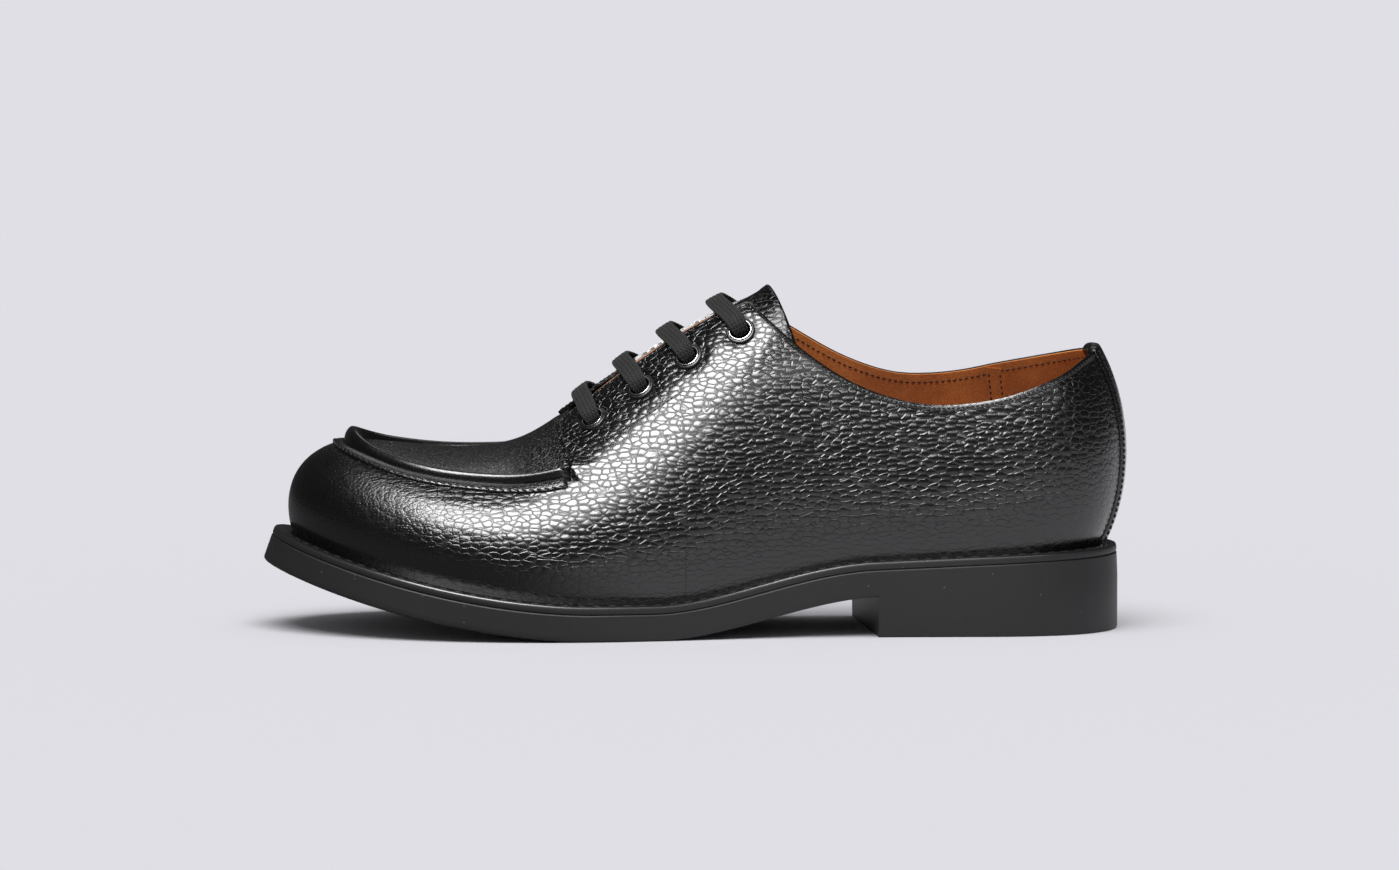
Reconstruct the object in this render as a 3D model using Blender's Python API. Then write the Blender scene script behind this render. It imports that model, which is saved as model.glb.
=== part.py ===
"""Derby shoe for the left foot, built on the surface of its last.

Metres, +Z up, +X from the heel to the toe, +Y to the outer side of the foot.
Sections are set out from the back of the heel. At the end an empty moves the
whole shoe so that its box stands centred on the world's origin.

A place on the last is (u, h). u runs round the feather line, where the upper
meets the welt: 0 at the back of the heel, 1 at the tip of the toe, 2 at the
heel again, with the outer side first. h runs up from the feather, 0, to the
centre line over the instep, 1. Tables hold shares of the named sizes.
"""

import math

import bmesh
import bpy
import numpy as np
from mathutils import Matrix, Vector

# Sole
SOLE_LENGTH = 0.300
BALL_WIDTH = 0.106
OUTSOLE_THICKNESS = 0.0093
HEEL_HEIGHT = 0.0139
HEEL_LENGTH = 0.085
HEEL_BREAST_SKEW = 0.007
SEAT_RISE = 0.0037
TOE_SPRING = 0.024
TOE_SPRING_POWER = 1.75
TREAD_FLAT_LENGTH = 0.021
TREAD_FLAT_START = 0.162
SOLE_EDGE_ROUND = 0.0008

# Welt and insole
WELT_THICKNESS = 0.0029
WELT_WIDTH = 0.0062
WELT_TUCK = 0.0014
INSOLE_THICKNESS = 0.0055

# Upper, heights from the floor
INSTEP_HEIGHT = 0.120
COLLAR_HEIGHT = 0.098
WALL = 0.0022
RIDGE_HEIGHT = 0.0018
RIDGE_WIDTH = 0.0030
APRON_DROP = 0.0015
LACING_GAP_TOP = 0.024
LACING_GAP_THROAT = 0.017

# Back strip
STRIP_WIDTH = 0.021
STRIP_THICKNESS = 0.0011
STRIP_FOLD = 0.008

# Tongue
TONGUE_THICKNESS = 0.0022
TONGUE_WIDTH = 0.052
TONGUE_SAG = 0.0012
TONGUE_SWEEP = 0.016

# Lacing
EYELET_COUNT = 4
EYELET_PITCH = 0.0208
EYELET_FIRST = 0.0125
EYELET_SETBACK_THROAT = 0.0156
EYELET_SETBACK_TOP = 0.0128
EYELET_BORE = 0.0064
EYELET_FLANGE = 0.0102
EYELET_FLANGE_THICKNESS = 0.0007
EYELET_BARREL_WALL = 0.0006
LACE_WIDTH = 0.0068
LACE_THICKNESS = 0.0015
LACE_WIDTH_IN_EYELET = 0.0052
LACE_LEAN = 0.0034

# Clearance between pieces that touch on the real shoe
CLEARANCE = 0.0003

# Plan of the sole: x as a share of its length, half widths as shares of the ball width
OUTLINE = [  # x, outer side, inner side
    (0.000, 0.000, 0.000),
    (0.012, 0.142, 0.142),
    (0.045, 0.248, 0.248),
    (0.100, 0.311, 0.308),
    (0.170, 0.330, 0.322),
    (0.280, 0.340, 0.305),
    (0.400, 0.374, 0.283),
    (0.500, 0.432, 0.322),
    (0.600, 0.485, 0.412),
    (0.680, 0.500, 0.478),
    (0.750, 0.489, 0.500),
    (0.830, 0.437, 0.470),
    (0.900, 0.345, 0.393),
    (0.955, 0.228, 0.283),
    (0.988, 0.105, 0.165),
    (1.000, -0.030, 0.030),
]

# How far the welt stands out past the feather, as a share of the welt's width
WELT_MARGIN = [  # way round, share
    (0.00, 0.81),
    (0.30, 0.77),
    (0.45, 0.77),
    (0.65, 1.05),
    (0.85, 1.05),
    (1.00, 0.97),
]

# Centre line over the instep, and how far the sections lean to the outer side there
SPINE = [  # way round, x of length, y of ball width, z of instep height, lean
    (0.00, 0.133, 0.000, 1.025, 0.00),
    (0.10, 0.150, 0.000, 1.033, 0.00),
    (0.20, 0.210, 0.000, 1.058, 0.02),
    (0.30, 0.310, 0.000, 1.067, 0.05),
    (0.40, 0.420, 0.000, 1.005, 0.08),
    (0.50, 0.535, -0.010, 0.853, 0.10),
    (0.60, 0.650, -0.020, 0.637, 0.14),
    (0.65, 0.700, -0.025, 0.557, 0.16),
    (0.70, 0.745, -0.028, 0.527, 0.16),
    (0.80, 0.810, -0.030, 0.529, 0.15),
    (0.90, 0.845, -0.030, 0.5435, 0.12),
    (1.00, 0.850, -0.030, 0.545, 0.00),
]

# Sections of the last: each is a curve from the feather to the centre line with three
# controls between. Reach is a share of the way out from the centre line to the feather,
# rise a share of the height between them. The last control lies on the instep's slope.
SECTIONS = [  # way round, then reach 1, rise 1, reach 2, rise 2, reach 3: outer, inner side
    (0.00, 1.25, 0.17, 1.47, 0.55, 0.86, 1.25, 0.17, 1.47, 0.55, 0.86),
    (0.10, 1.22, 0.18, 1.28, 0.51, 0.80, 1.22, 0.18, 1.28, 0.51, 0.80),
    (0.20, 1.16, 0.20, 1.06, 0.50, 0.65, 1.16, 0.20, 1.06, 0.50, 0.65),
    (0.30, 1.13, 0.22, 0.98, 0.52, 0.60, 1.12, 0.22, 1.05, 0.52, 0.60),
    (0.40, 1.12, 0.25, 0.95, 0.85, 0.48, 1.12, 0.25, 1.08, 0.88, 0.62),
    (0.50, 1.14, 0.28, 0.96, 0.66, 0.55, 1.10, 0.28, 1.08, 0.74, 0.66),
    (0.60, 1.12, 0.30, 1.00, 0.72, 0.46, 1.08, 0.30, 1.04, 0.86, 0.52),
    (0.70, 1.12, 0.32, 1.00, 0.80, 0.50, 1.08, 0.33, 1.04, 0.97, 0.56),
    (0.80, 1.10, 0.33, 1.00, 0.84, 0.50, 1.08, 0.34, 1.02, 0.99, 0.56),
    (0.90, 1.10, 0.36, 1.03, 0.91, 0.53, 1.10, 0.36, 1.03, 0.98, 0.56),
    (1.00, 1.10, 0.37, 1.05, 0.93, 0.55, 1.10, 0.37, 1.05, 0.93, 0.55),
]

# Top line of the collar, from the heel to the corner of the facings
TOP_LINE = [  # x of length, height on the outer side, on the inner side, of collar height
    (0.000, 1.010, 1.010),
    (0.035, 0.985, 0.995),
    (0.068, 0.922, 0.974),
    (0.103, 0.874, 0.953),
    (0.140, 0.838, 0.932),
    (0.175, 0.819, 0.910),
    (0.215, 0.812, 0.897),
    (0.255, 0.828, 0.900),
    (0.313, 0.892, 0.954),
    (0.372, 1.010, 1.052),
    (0.416, 1.128, 1.140),
    (0.480, 1.310, 1.320),
]

# Seam between the side wall and the apron, as a height up the section
SEAM = [  # way round, outer side, inner side
    (0.56, 0.540, 0.600),
    (0.61, 0.560, 0.620),
    (0.66, 0.605, 0.640),
    (0.72, 0.650, 0.660),
    (0.80, 0.680, 0.665),
    (0.86, 0.730, 0.700),
    (0.93, 0.800, 0.770),
    (1.00, 0.820, 0.820),
]

# Way round from which the centre line's slope is held to the toe
WAY_SLOPE_HELD = 0.78

# Way round at the front edge of the facings' tabs, and where their top corners lie
WAY_TAB = 0.608
WAY_TOP_CORNER = 0.410
WAY_TAB_CORNER = 0.035
WAY_TOP_ROUND = 0.020


def closed_spline(knots, points):
    """A smooth closed curve of period 2 through points (n, d) at the knots."""
    knots = np.asarray(knots, float)
    points = np.asarray(points, float)
    count = len(knots)
    step = np.diff(np.append(knots, knots[0] + 2.0))
    system = np.zeros((count, count))
    right = np.zeros(points.shape)
    for i in range(count):
        after = (i + 1) % count
        system[i, i - 1] += step[i - 1]
        system[i, i] += 2 * (step[i - 1] + step[i])
        system[i, after] += step[i]
        right[i] = 6 * ((points[after] - points[i]) / step[i] - (points[i] - points[i - 1]) / step[i - 1])
    bend = np.linalg.solve(system, right)

    def at(u, slope=False):
        u = np.atleast_1d(np.asarray(u, float)) % 2.0
        i = np.searchsorted(knots, u, side="right") - 1
        j = (i + 1) % count
        span = step[i][:, None]
        past = (u - knots[i])[:, None]
        left = span - past
        if slope:
            chord = (points[j] - points[i]) / span
            return (chord - bend[i] * (left * left / (2 * span) - span / 6)
                    + bend[j] * (past * past / (2 * span) - span / 6))
        return (bend[i] * left**3 / (6 * span) + bend[j] * past**3 / (6 * span)
                + (points[i] / span - bend[i] * span / 6) * left
                + (points[j] / span - bend[j] * span / 6) * past)

    return at


def both_sides(ways, outer, inner):
    """A closed spline along the outer side from heel to toe, then back along the inner side."""
    knots = list(ways) + [2.0 - way for way in ways[-2:0:-1]]
    return closed_spline(knots, list(outer) + list(inner[-2:0:-1]))


def smooth_line(table, column):
    """A smooth function through two columns of a table, the first against a later one."""
    x = np.array([row[0] for row in table])
    y = np.array([row[column] for row in table])
    slope = np.gradient(y, x)

    def at(value):
        value = np.clip(np.asarray(value, float), x[0], x[-1])
        i = np.clip(np.searchsorted(x, value, side="right") - 1, 0, len(x) - 2)
        span = x[i + 1] - x[i]
        t = (value - x[i]) / span
        return ((2 * t**3 - 3 * t**2 + 1) * y[i] + (t**3 - 2 * t**2 + t) * span * slope[i]
                + (3 * t**2 - 2 * t**3) * y[i + 1] + (t**3 - t**2) * span * slope[i + 1])

    return at


# Sole

def rise(x):
    """Height of the outsole's underside over the floor, without the heel block."""
    x = np.asarray(x, float)
    front = TREAD_FLAT_START + TREAD_FLAT_LENGTH
    seat_slope = -SEAT_RISE / HEEL_LENGTH
    seat = HEEL_HEIGHT + seat_slope * (x - HEEL_LENGTH)
    waist_length = TREAD_FLAT_START - HEEL_LENGTH
    s = np.clip((x - HEEL_LENGTH) / waist_length, 0, 1)
    waist = HEEL_HEIGHT * (2 * s**3 - 3 * s**2 + 1) + seat_slope * waist_length * (s**3 - 2 * s**2 + s)
    past = np.clip((x - front) / (SOLE_LENGTH - front), 0, None)
    toe = TOE_SPRING * past**TOE_SPRING_POWER
    return np.where(x < HEEL_LENGTH, seat, np.where(x < TREAD_FLAT_START, waist, toe))


def lift(x, height):
    """x and z of a point a height over the outsole's underside, square to it."""
    step = 1e-4
    slope = (rise(x + step) - rise(x - step)) / (2 * step)
    length = np.sqrt(1 + slope * slope)
    return x - height * slope / length, rise(x) + height / length


def outline_curve():
    outer = np.array([(x * SOLE_LENGTH, half * BALL_WIDTH) for x, half, _ in OUTLINE])
    inner = np.array([(x * SOLE_LENGTH, -half * BALL_WIDTH) for x, _, half in OUTLINE])
    chords = np.linalg.norm(np.diff(outer, axis=0), axis=1) + np.linalg.norm(np.diff(inner, axis=0), axis=1)
    ways = np.concatenate([[0], np.cumsum(chords)]) / chords.sum()
    return both_sides(ways, outer, inner)


SOLE_EDGE = outline_curve()
MARGIN_AT = both_sides(
    [way for way, _ in WELT_MARGIN],
    [[share * WELT_WIDTH] for _, share in WELT_MARGIN],
    [[share * WELT_WIDTH] for _, share in WELT_MARGIN],
)


def inset(u, distance):
    """Plan points at a distance inside the sole's edge."""
    u = np.atleast_1d(np.asarray(u, float))
    along = SOLE_EDGE(u, slope=True)
    along = along / np.linalg.norm(along, axis=1)[:, None]
    inward = np.stack([along[:, 1], -along[:, 0]], 1)
    return SOLE_EDGE(u) + inward * np.broadcast_to(distance, u.shape)[:, None]


def over_sole(plan, height):
    """Points over plan points, at a height above the outsole's underside."""
    x, z = lift(plan[:, 0], height)
    return np.stack([x, plan[:, 1], z], 1)


# Last

def feather(u):
    top = OUTSOLE_THICKNESS + WELT_THICKNESS
    return over_sole(inset(u, MARGIN_AT(u)[:, 0]), top + CLEARANCE)


def spine_rows():
    return np.array([(x * SOLE_LENGTH, y * BALL_WIDTH, z * INSTEP_HEIGHT) for _, x, y, z, _ in SPINE])


SPINE_AT = both_sides([row[0] for row in SPINE], spine_rows(), spine_rows())
LEAN_AT = both_sides([row[0] for row in SPINE], [[row[4]] for row in SPINE], [[-row[4]] for row in SPINE])
SECTION_AT = both_sides([row[0] for row in SECTIONS], [row[1:6] for row in SECTIONS], [row[6:] for row in SECTIONS])


def spine_slope_curve():
    line = SPINE_AT(np.linspace(0, WAY_SLOPE_HELD, 200))
    return line[:, 0], np.gradient(line[:, 2], line[:, 0])


SPINE_X, SPINE_SLOPE = spine_slope_curve()


def section_controls(u):
    """The five Bezier points of the section at each u."""
    foot = feather(u)
    top = SPINE_AT(u)
    reach1, rise1, reach2, rise2, reach3 = SECTION_AT(u).T
    arm = foot - top
    arm[:, 2] = 0
    tall = top[:, 2] - foot[:, 2]
    first = top + arm * reach1[:, None]
    first[:, 2] = foot[:, 2] + rise1 * tall
    second = top + arm * reach2[:, None]
    second[:, 2] = foot[:, 2] + rise2 * tall
    third = top + arm * reach3[:, None]
    slope = np.interp(top[:, 0], SPINE_X, SPINE_SLOPE)
    sideways = LEAN_AT(u)[:, 0] * reach3 * np.linalg.norm(arm, axis=1)
    third[:, 2] = top[:, 2] + slope * (third[:, 0] - top[:, 0]) - sideways
    return foot, first, second, third, top


def last(u, h):
    """Points on the outside of the leather."""
    u, h = np.broadcast_arrays(np.asarray(u, float), np.asarray(h, float))
    points = section_controls(u.ravel())
    h = h.ravel()[:, None]
    g = 1 - h
    weights = (g**4, 4 * g**3 * h, 6 * g**2 * h**2, 4 * g * h**3, h**4)
    return sum(weight * point for weight, point in zip(weights, points)).reshape(u.shape + (3,))


def outward(u, h):
    """Unit normals of the last, pointing out of the shoe."""
    u, h = np.broadcast_arrays(np.asarray(u, float), np.asarray(h, float))
    step = 1e-4
    low = np.clip(h - step, 0, 1)
    high = np.clip(h + step, 0, 1)
    up = last(u, high) - last(u, low)
    round_it = last(u + step, np.minimum(h, 0.999)) - last(u - step, np.minimum(h, 0.999))
    normal = np.cross(up, round_it)
    return normal / np.linalg.norm(normal, axis=-1)[..., None]


# Pattern lines on the last

TOP_LINE_OUTER = smooth_line(TOP_LINE, 1)
TOP_LINE_INNER = smooth_line(TOP_LINE, 2)
SEAM_AT = both_sides(
    [0.0] + [row[0] for row in SEAM],
    [[SEAM[0][1]]] + [[row[1]] for row in SEAM],
    [[SEAM[0][2]]] + [[row[2]] for row in SEAM],
)


def way_of(u):
    """Share of the way from the heel to the toe, on either side."""
    u = np.asarray(u, float) % 2.0
    return np.minimum(u, 2.0 - u)


def side_of(u):
    """1 on the outer side, -1 on the inner side."""
    return np.where(np.asarray(u, float) % 2.0 <= 1.0, 1.0, -1.0)


def first_rise(u, value):
    """The lowest h at which value(points) turns positive, on each section."""
    u = np.atleast_1d(np.asarray(u, float))
    heights = np.linspace(0.2, 1.0, 161)
    values = value(last(u[:, None], heights[None, :]), u[:, None])
    above = values > 0
    k = np.where(above.any(axis=1), above.argmax(axis=1), len(heights) - 1)
    k = np.clip(k, 1, len(heights) - 1)
    rows = np.arange(len(u))
    before, after = values[rows, k - 1], values[rows, k]
    share = np.clip(before / np.where(before == after, 1.0, before - after), 0, 1)
    return heights[k - 1] + share * (heights[k] - heights[k - 1])


def over_top_line(points, u):
    share = points[..., 0] / SOLE_LENGTH
    outer = TOP_LINE_OUTER(share)
    inner = TOP_LINE_INNER(share)
    return points[..., 2] - COLLAR_HEIGHT * np.where(side_of(u) > 0, outer, inner)


def half_gap(way):
    """Half the space between the facings."""
    along = np.clip((way - WAY_TOP_CORNER) / (WAY_TAB - WAY_TOP_CORNER), 0, 1)
    return (LACING_GAP_TOP * (1 - along) + LACING_GAP_THROAT * along) / 2


def inside_gap(points, u):
    centre = SPINE_AT(np.ravel(u))[:, 1].reshape(np.shape(u))
    return half_gap(way_of(u)) - (points[..., 1] - centre) * side_of(u)


def upper_edge(u):
    """h of the quarter's upper edge: the collar's top line, then the facing, then the tab's corner."""
    u = np.atleast_1d(np.asarray(u, float))
    way = way_of(u)
    collar = first_rise(u, over_top_line)
    facing = first_rise(u, inside_gap)
    difference = np.abs(collar - facing)
    blend = np.clip(1 - difference / WAY_TOP_ROUND, 0, 1) ** 2 * WAY_TOP_ROUND / 4
    near = np.clip((way - WAY_TAB + WAY_TAB_CORNER) / WAY_TAB_CORNER, 0, 1)
    corner = WAY_TAB_CORNER * (1 - np.sqrt(1 - 0.98 * near**2))
    return np.where(way < 0.2, collar, np.minimum(collar, facing) - blend) - corner


def along_section(u, start, distance):
    """h at a distance down the section from start, on one section."""
    heights = np.linspace(start, 0.2, 200)
    line = last(np.full(200, u), heights)
    run = np.concatenate([[0], np.cumsum(np.linalg.norm(np.diff(line, axis=0), axis=1))])
    return float(np.interp(distance, run, heights))


# Meshes

def new_object(name, vertices, faces, material):
    mesh = bpy.data.meshes.new(name)
    mesh.from_pydata([tuple(map(float, vertex)) for vertex in vertices], [], faces)
    work = bmesh.new()
    work.from_mesh(mesh)
    bmesh.ops.remove_doubles(work, verts=work.verts, dist=2e-5)
    bmesh.ops.recalc_face_normals(work, faces=work.faces)
    work.to_mesh(mesh)
    work.free()
    mesh.shade_smooth()
    mesh.set_sharp_from_angle(angle=math.radians(35))
    mesh.materials.append(material)
    thing = bpy.data.objects.new(name, mesh)
    PARTS.objects.link(thing)
    thing.parent = STAND
    return thing


class Lattice:
    """Vertices and faces gathered from grids of points."""

    def __init__(self):
        self.vertices = []
        self.faces = []

    def grid(self, points, flip=False):
        """Quads between the rows of an array (rows, columns, 3)."""
        rows, columns = points.shape[:2]
        start = len(self.vertices)
        self.vertices.extend(points.reshape(-1, 3))
        for i in range(rows - 1):
            for j in range(columns - 1):
                a = start + i * columns + j
                quad = [a, a + 1, a + columns + 1, a + columns]
                self.faces.append(quad[::-1] if flip else quad)

    def strip(self, first, second):
        """Quads between two lines of points."""
        self.grid(np.stack([first, second]))


def shell(name, outer, inner, material):
    """A closed sheet between two grids of the same size, with its four rims."""
    lattice = Lattice()
    lattice.grid(outer)
    lattice.grid(inner, flip=True)
    for side in (0, -1):
        lattice.strip(outer[side], inner[side])
        lattice.strip(outer[:, side], inner[:, side])
    return new_object(name, lattice.vertices, lattice.faces, material)


# Sole unit, welt and insole

ACROSS = np.linspace(0, 1, 5)


def stations(counts):
    """Ways round at both ends of each line across the sole, counted for heel, waist, tread and toe."""
    line = SOLE_EDGE(np.linspace(0, 1, 400))[:, 0]
    other = SOLE_EDGE(2 - np.linspace(0, 1, 400))[:, 0]
    ways = np.linspace(0, 1, 400)
    breast_outer = np.interp(HEEL_LENGTH, line, ways)
    breast_inner = np.interp(HEEL_LENGTH + HEEL_BREAST_SKEW, other, ways)
    marks = [TREAD_FLAT_START, TREAD_FLAT_START + TREAD_FLAT_LENGTH]
    outer = [0, breast_outer, *np.interp(marks, line, ways), 1]
    inner = [0, breast_inner, *np.interp(marks, other, ways), 1]
    lines = []
    for knots in (outer, inner):
        runs = [np.linspace(knots[i], knots[i + 1], counts[i], endpoint=False) for i in range(4)]
        lines.append(np.concatenate(runs + [[1.0]]))
    return lines


def across_sole(outer_ways, inner_ways, margin, height):
    """Points on lines across the sole, (stations, across, 3)."""
    left = inset(outer_ways, margin)
    right = inset(2 - inner_ways, margin)
    plan = left[:, None] * (1 - ACROSS)[None, :, None] + right[:, None] * ACROSS[None, :, None]
    flat = plan.reshape(-1, 2)
    if height is None:
        return np.column_stack([flat, np.zeros(len(flat))]).reshape(plan.shape[:2] + (3,))
    return over_sole(flat, height).reshape(plan.shape[:2] + (3,))


def add_walls(lattice, layers, first=0, last_station=None):
    """Side walls between layers of lines across the sole."""
    span = slice(first, last_station)
    for below, above in zip(layers, layers[1:]):
        lattice.strip(below[span, 0], above[span, 0])
        lattice.strip(above[span, -1], below[span, -1])


def make_sole(material):
    counts = (12, 7, 2, 14)
    outer_ways, inner_ways = stations(counts)
    breast = counts[0]
    thick = OUTSOLE_THICKNESS - CLEARANCE
    low = across_sole(outer_ways, inner_ways, SOLE_EDGE_ROUND, 0.0)
    side_low = across_sole(outer_ways, inner_ways, 0.0, SOLE_EDGE_ROUND)
    side_high = across_sole(outer_ways, inner_ways, 0.0, thick - SOLE_EDGE_ROUND / 2)
    top = across_sole(outer_ways, inner_ways, SOLE_EDGE_ROUND / 2, thick)
    ground = across_sole(outer_ways, inner_ways, SOLE_EDGE_ROUND, None)
    lattice = Lattice()
    lattice.grid(top)
    lattice.grid(low[breast:], flip=True)
    lattice.grid(ground[: breast + 1], flip=True)
    lattice.strip(low[breast], ground[breast])
    add_walls(lattice, [low, side_low, side_high, top])
    add_walls(lattice, [ground, low], 0, breast + 1)
    return new_object("sole", lattice.vertices, lattice.faces, material)


def make_welt(material):
    """A flat strip all the way round, its edge slightly rounded."""
    u = np.linspace(0, 2, 97)[:-1]
    inner = MARGIN_AT(u)[:, 0] + WELT_TUCK
    low, high = OUTSOLE_THICKNESS, OUTSOLE_THICKNESS + WELT_THICKNESS
    middle = (low + high) / 2
    profile = [
        (0.0004, low), (0.0, middle), (0.0005, high - 0.0003), (0.0016, high), (inner, high), (inner, low),
    ]
    rings = [over_sole(inset(u, distance), height) for distance, height in profile]
    grid = np.stack(rings + rings[:1])
    lattice = Lattice()
    lattice.grid(np.concatenate([grid, grid[:, :1]], axis=1))
    return new_object("welt", lattice.vertices, lattice.faces, material)


def make_insole(material):
    outer_ways, inner_ways = stations((9, 5, 2, 10))
    margin_outer = MARGIN_AT(outer_ways)[:, 0] + WALL + 2 * CLEARANCE
    margin_inner = MARGIN_AT(2 - inner_ways)[:, 0] + WALL + 2 * CLEARANCE
    layers = []
    for height in (OUTSOLE_THICKNESS, OUTSOLE_THICKNESS + INSOLE_THICKNESS):
        left = inset(outer_ways, margin_outer)
        right = inset(2 - inner_ways, margin_inner)
        plan = left[:, None] * (1 - ACROSS)[None, :, None] + right[:, None] * ACROSS[None, :, None]
        points = over_sole(plan.reshape(-1, 2), height)
        layers.append(points.reshape(plan.shape[:2] + (3,)))
    lattice = Lattice()
    lattice.grid(layers[1])
    lattice.grid(layers[0], flip=True)
    add_walls(lattice, layers)
    return new_object("insole", lattice.vertices, lattice.faces, material)


# Upper

LOW_ROWS = (0.0, 0.12, 0.3, 0.5, 0.7, 0.88)
MIDDLE_ROWS = (0.45, 1.0)
APRON_ROWS = (0.35, 0.7, 1.0)
FRONT_COLUMNS = 20
WAY_STEP = 0.0006


def column_ways():
    """Ways round of the upper's columns, on one side from the heel to the toe."""
    quarter = np.concatenate([
        np.linspace(0, 0.36, 18, endpoint=False),
        np.linspace(0.36, 0.45, 7, endpoint=False),
        np.linspace(0.45, WAY_TAB - WAY_TAB_CORNER, 5, endpoint=False),
        WAY_TAB - WAY_TAB_CORNER * np.array([1.0, 0.6, 0.32, 0.12]),
    ])
    front = WAY_TAB + (1 - WAY_TAB) * np.linspace(0, 1, FRONT_COLUMNS + 1)
    return np.concatenate([quarter, [WAY_TAB - WAY_STEP], [WAY_TAB + WAY_STEP], front[1:]])


def seam_rows(u):
    """h of the rows at the seam: its outer foot, its top and its inner foot."""
    height = float(SEAM_AT(u)[0, 0])
    outer_foot = along_section(u, height, RIDGE_WIDTH / 2)
    inner_foot = 2 * height - outer_foot
    return [outer_foot, height, inner_foot]


def rows_at(u, tab_seam, tab_edge):
    """h of each row of a column, up to the height where the facing's tab ends or its like in front."""
    seam = seam_rows(u)
    edge = 1 - (1 - seam[2]) * (1 - tab_edge) / (1 - tab_seam)
    rows = [share * seam[0] for share in LOW_ROWS] + seam
    return rows + [seam[2] + share * (edge - seam[2]) for share in MIDDLE_ROWS]


def upper_columns(side):
    """For each column of one side: its way u, its rows h, and whether it lies in front of the tab."""
    ways = column_ways()
    tab_u = (WAY_TAB - WAY_STEP) if side > 0 else 2 - (WAY_TAB - WAY_STEP)
    tab_edge = float(upper_edge(tab_u)[0])
    tab_seam = seam_rows(tab_u)[2]
    tab_rows = np.array(rows_at(tab_u, tab_seam, tab_edge)) / tab_edge
    even_rows = np.linspace(0, 1, len(tab_rows))
    columns = []
    for way in ways:
        u = way if side > 0 else (2 - way) % 2.0
        if way < WAY_TAB:
            ease = np.clip((way - 0.30) / (WAY_TAB - 0.30), 0, 1) ** 2
            shares = even_rows * (1 - ease) + tab_rows * ease
            columns.append((u, list(shares * float(upper_edge(u)[0])), False))
        else:
            rows = rows_at(u, tab_seam, tab_edge)
            rows += [rows[-1] + share * (1 - rows[-1]) for share in APRON_ROWS]
            columns.append((u, rows, True))
    return columns


def ridge_and_drop(rows, in_front):
    """How far each row stands out of the last: the piped seam, and the apron below it."""
    out = np.zeros(len(rows))
    top = len(LOW_ROWS) + 1
    if in_front:
        out[top] = RIDGE_HEIGHT
        out[top + 1:] = -APRON_DROP
    return out


def wall_depth(u, above_seam):
    """Depth of the lining under the last's surface: the apron lies lower, under the tabs too."""
    ease = np.clip((way_of(u) - WAY_TAB + 2 * WAY_TAB_CORNER) / (2 * WAY_TAB_CORNER), 0, 1)
    return WALL + APRON_DROP * ease * above_seam


def make_upper(material):
    sides = {side: upper_columns(side) for side in (1, -1)}
    ring = sides[1] + sides[-1][-2:0:-1]
    outer, inner = [], []
    for u, rows, in_front in ring:
        rows = np.array(rows)
        places = last(u, rows)
        normals = outward(u, rows)
        if in_front:
            top_pair = normals[-1] + outward(2 - u, 1.0)
            normals[-1] = top_pair / np.linalg.norm(top_pair)
        stand = ridge_and_drop(rows, in_front)[:, None]
        outer.append(places + normals * stand)
        inner.append(places - normals * wall_depth(u, np.arange(len(rows)) > len(LOW_ROWS) + 1)[:, None])
    lattice = Lattice()
    count = len(ring)
    for i in range(count):
        j = (i + 1) % count
        shared = min(len(outer[i]), len(outer[j]))
        lattice.grid(np.stack([outer[i][:shared], outer[j][:shared]]))
        lattice.grid(np.stack([inner[i][:shared], inner[j][:shared]]), flip=True)
        lattice.grid(np.array([[outer[i][0], outer[j][0]], [inner[i][0], inner[j][0]]]))
        if not (ring[i][2] and ring[j][2]):
            lattice.grid(np.array([[outer[i][shared - 1], outer[j][shared - 1]],
                                   [inner[i][shared - 1], inner[j][shared - 1]]]), flip=True)
        if ring[i][2] != ring[j][2]:
            front = i if ring[i][2] else j
            lattice.strip(outer[front][shared - 1:], inner[front][shared - 1:])
    return new_object("upper", lattice.vertices, lattice.faces, material)


# Back strip

def level_line(u, height):
    """Points of the sections u at a height over the floor, and their h."""
    low = np.zeros(len(u))
    high = np.full(len(u), 0.95)
    for _ in range(24):
        middle = (low + high) / 2
        below = last(u, middle)[:, 2] < height
        low = np.where(below, middle, low)
        high = np.where(below, high, middle)
    return last(u, middle), middle


def strip_places(height, offsets):
    """(u, h) of points at a height and at sideways distances from the heel's centre line."""
    u = np.linspace(-0.10, 0.10, 81)
    line, heights = level_line(u, height)
    ways = np.interp(offsets, line[:, 1], u)
    return ways, np.interp(ways, u, heights)


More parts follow.
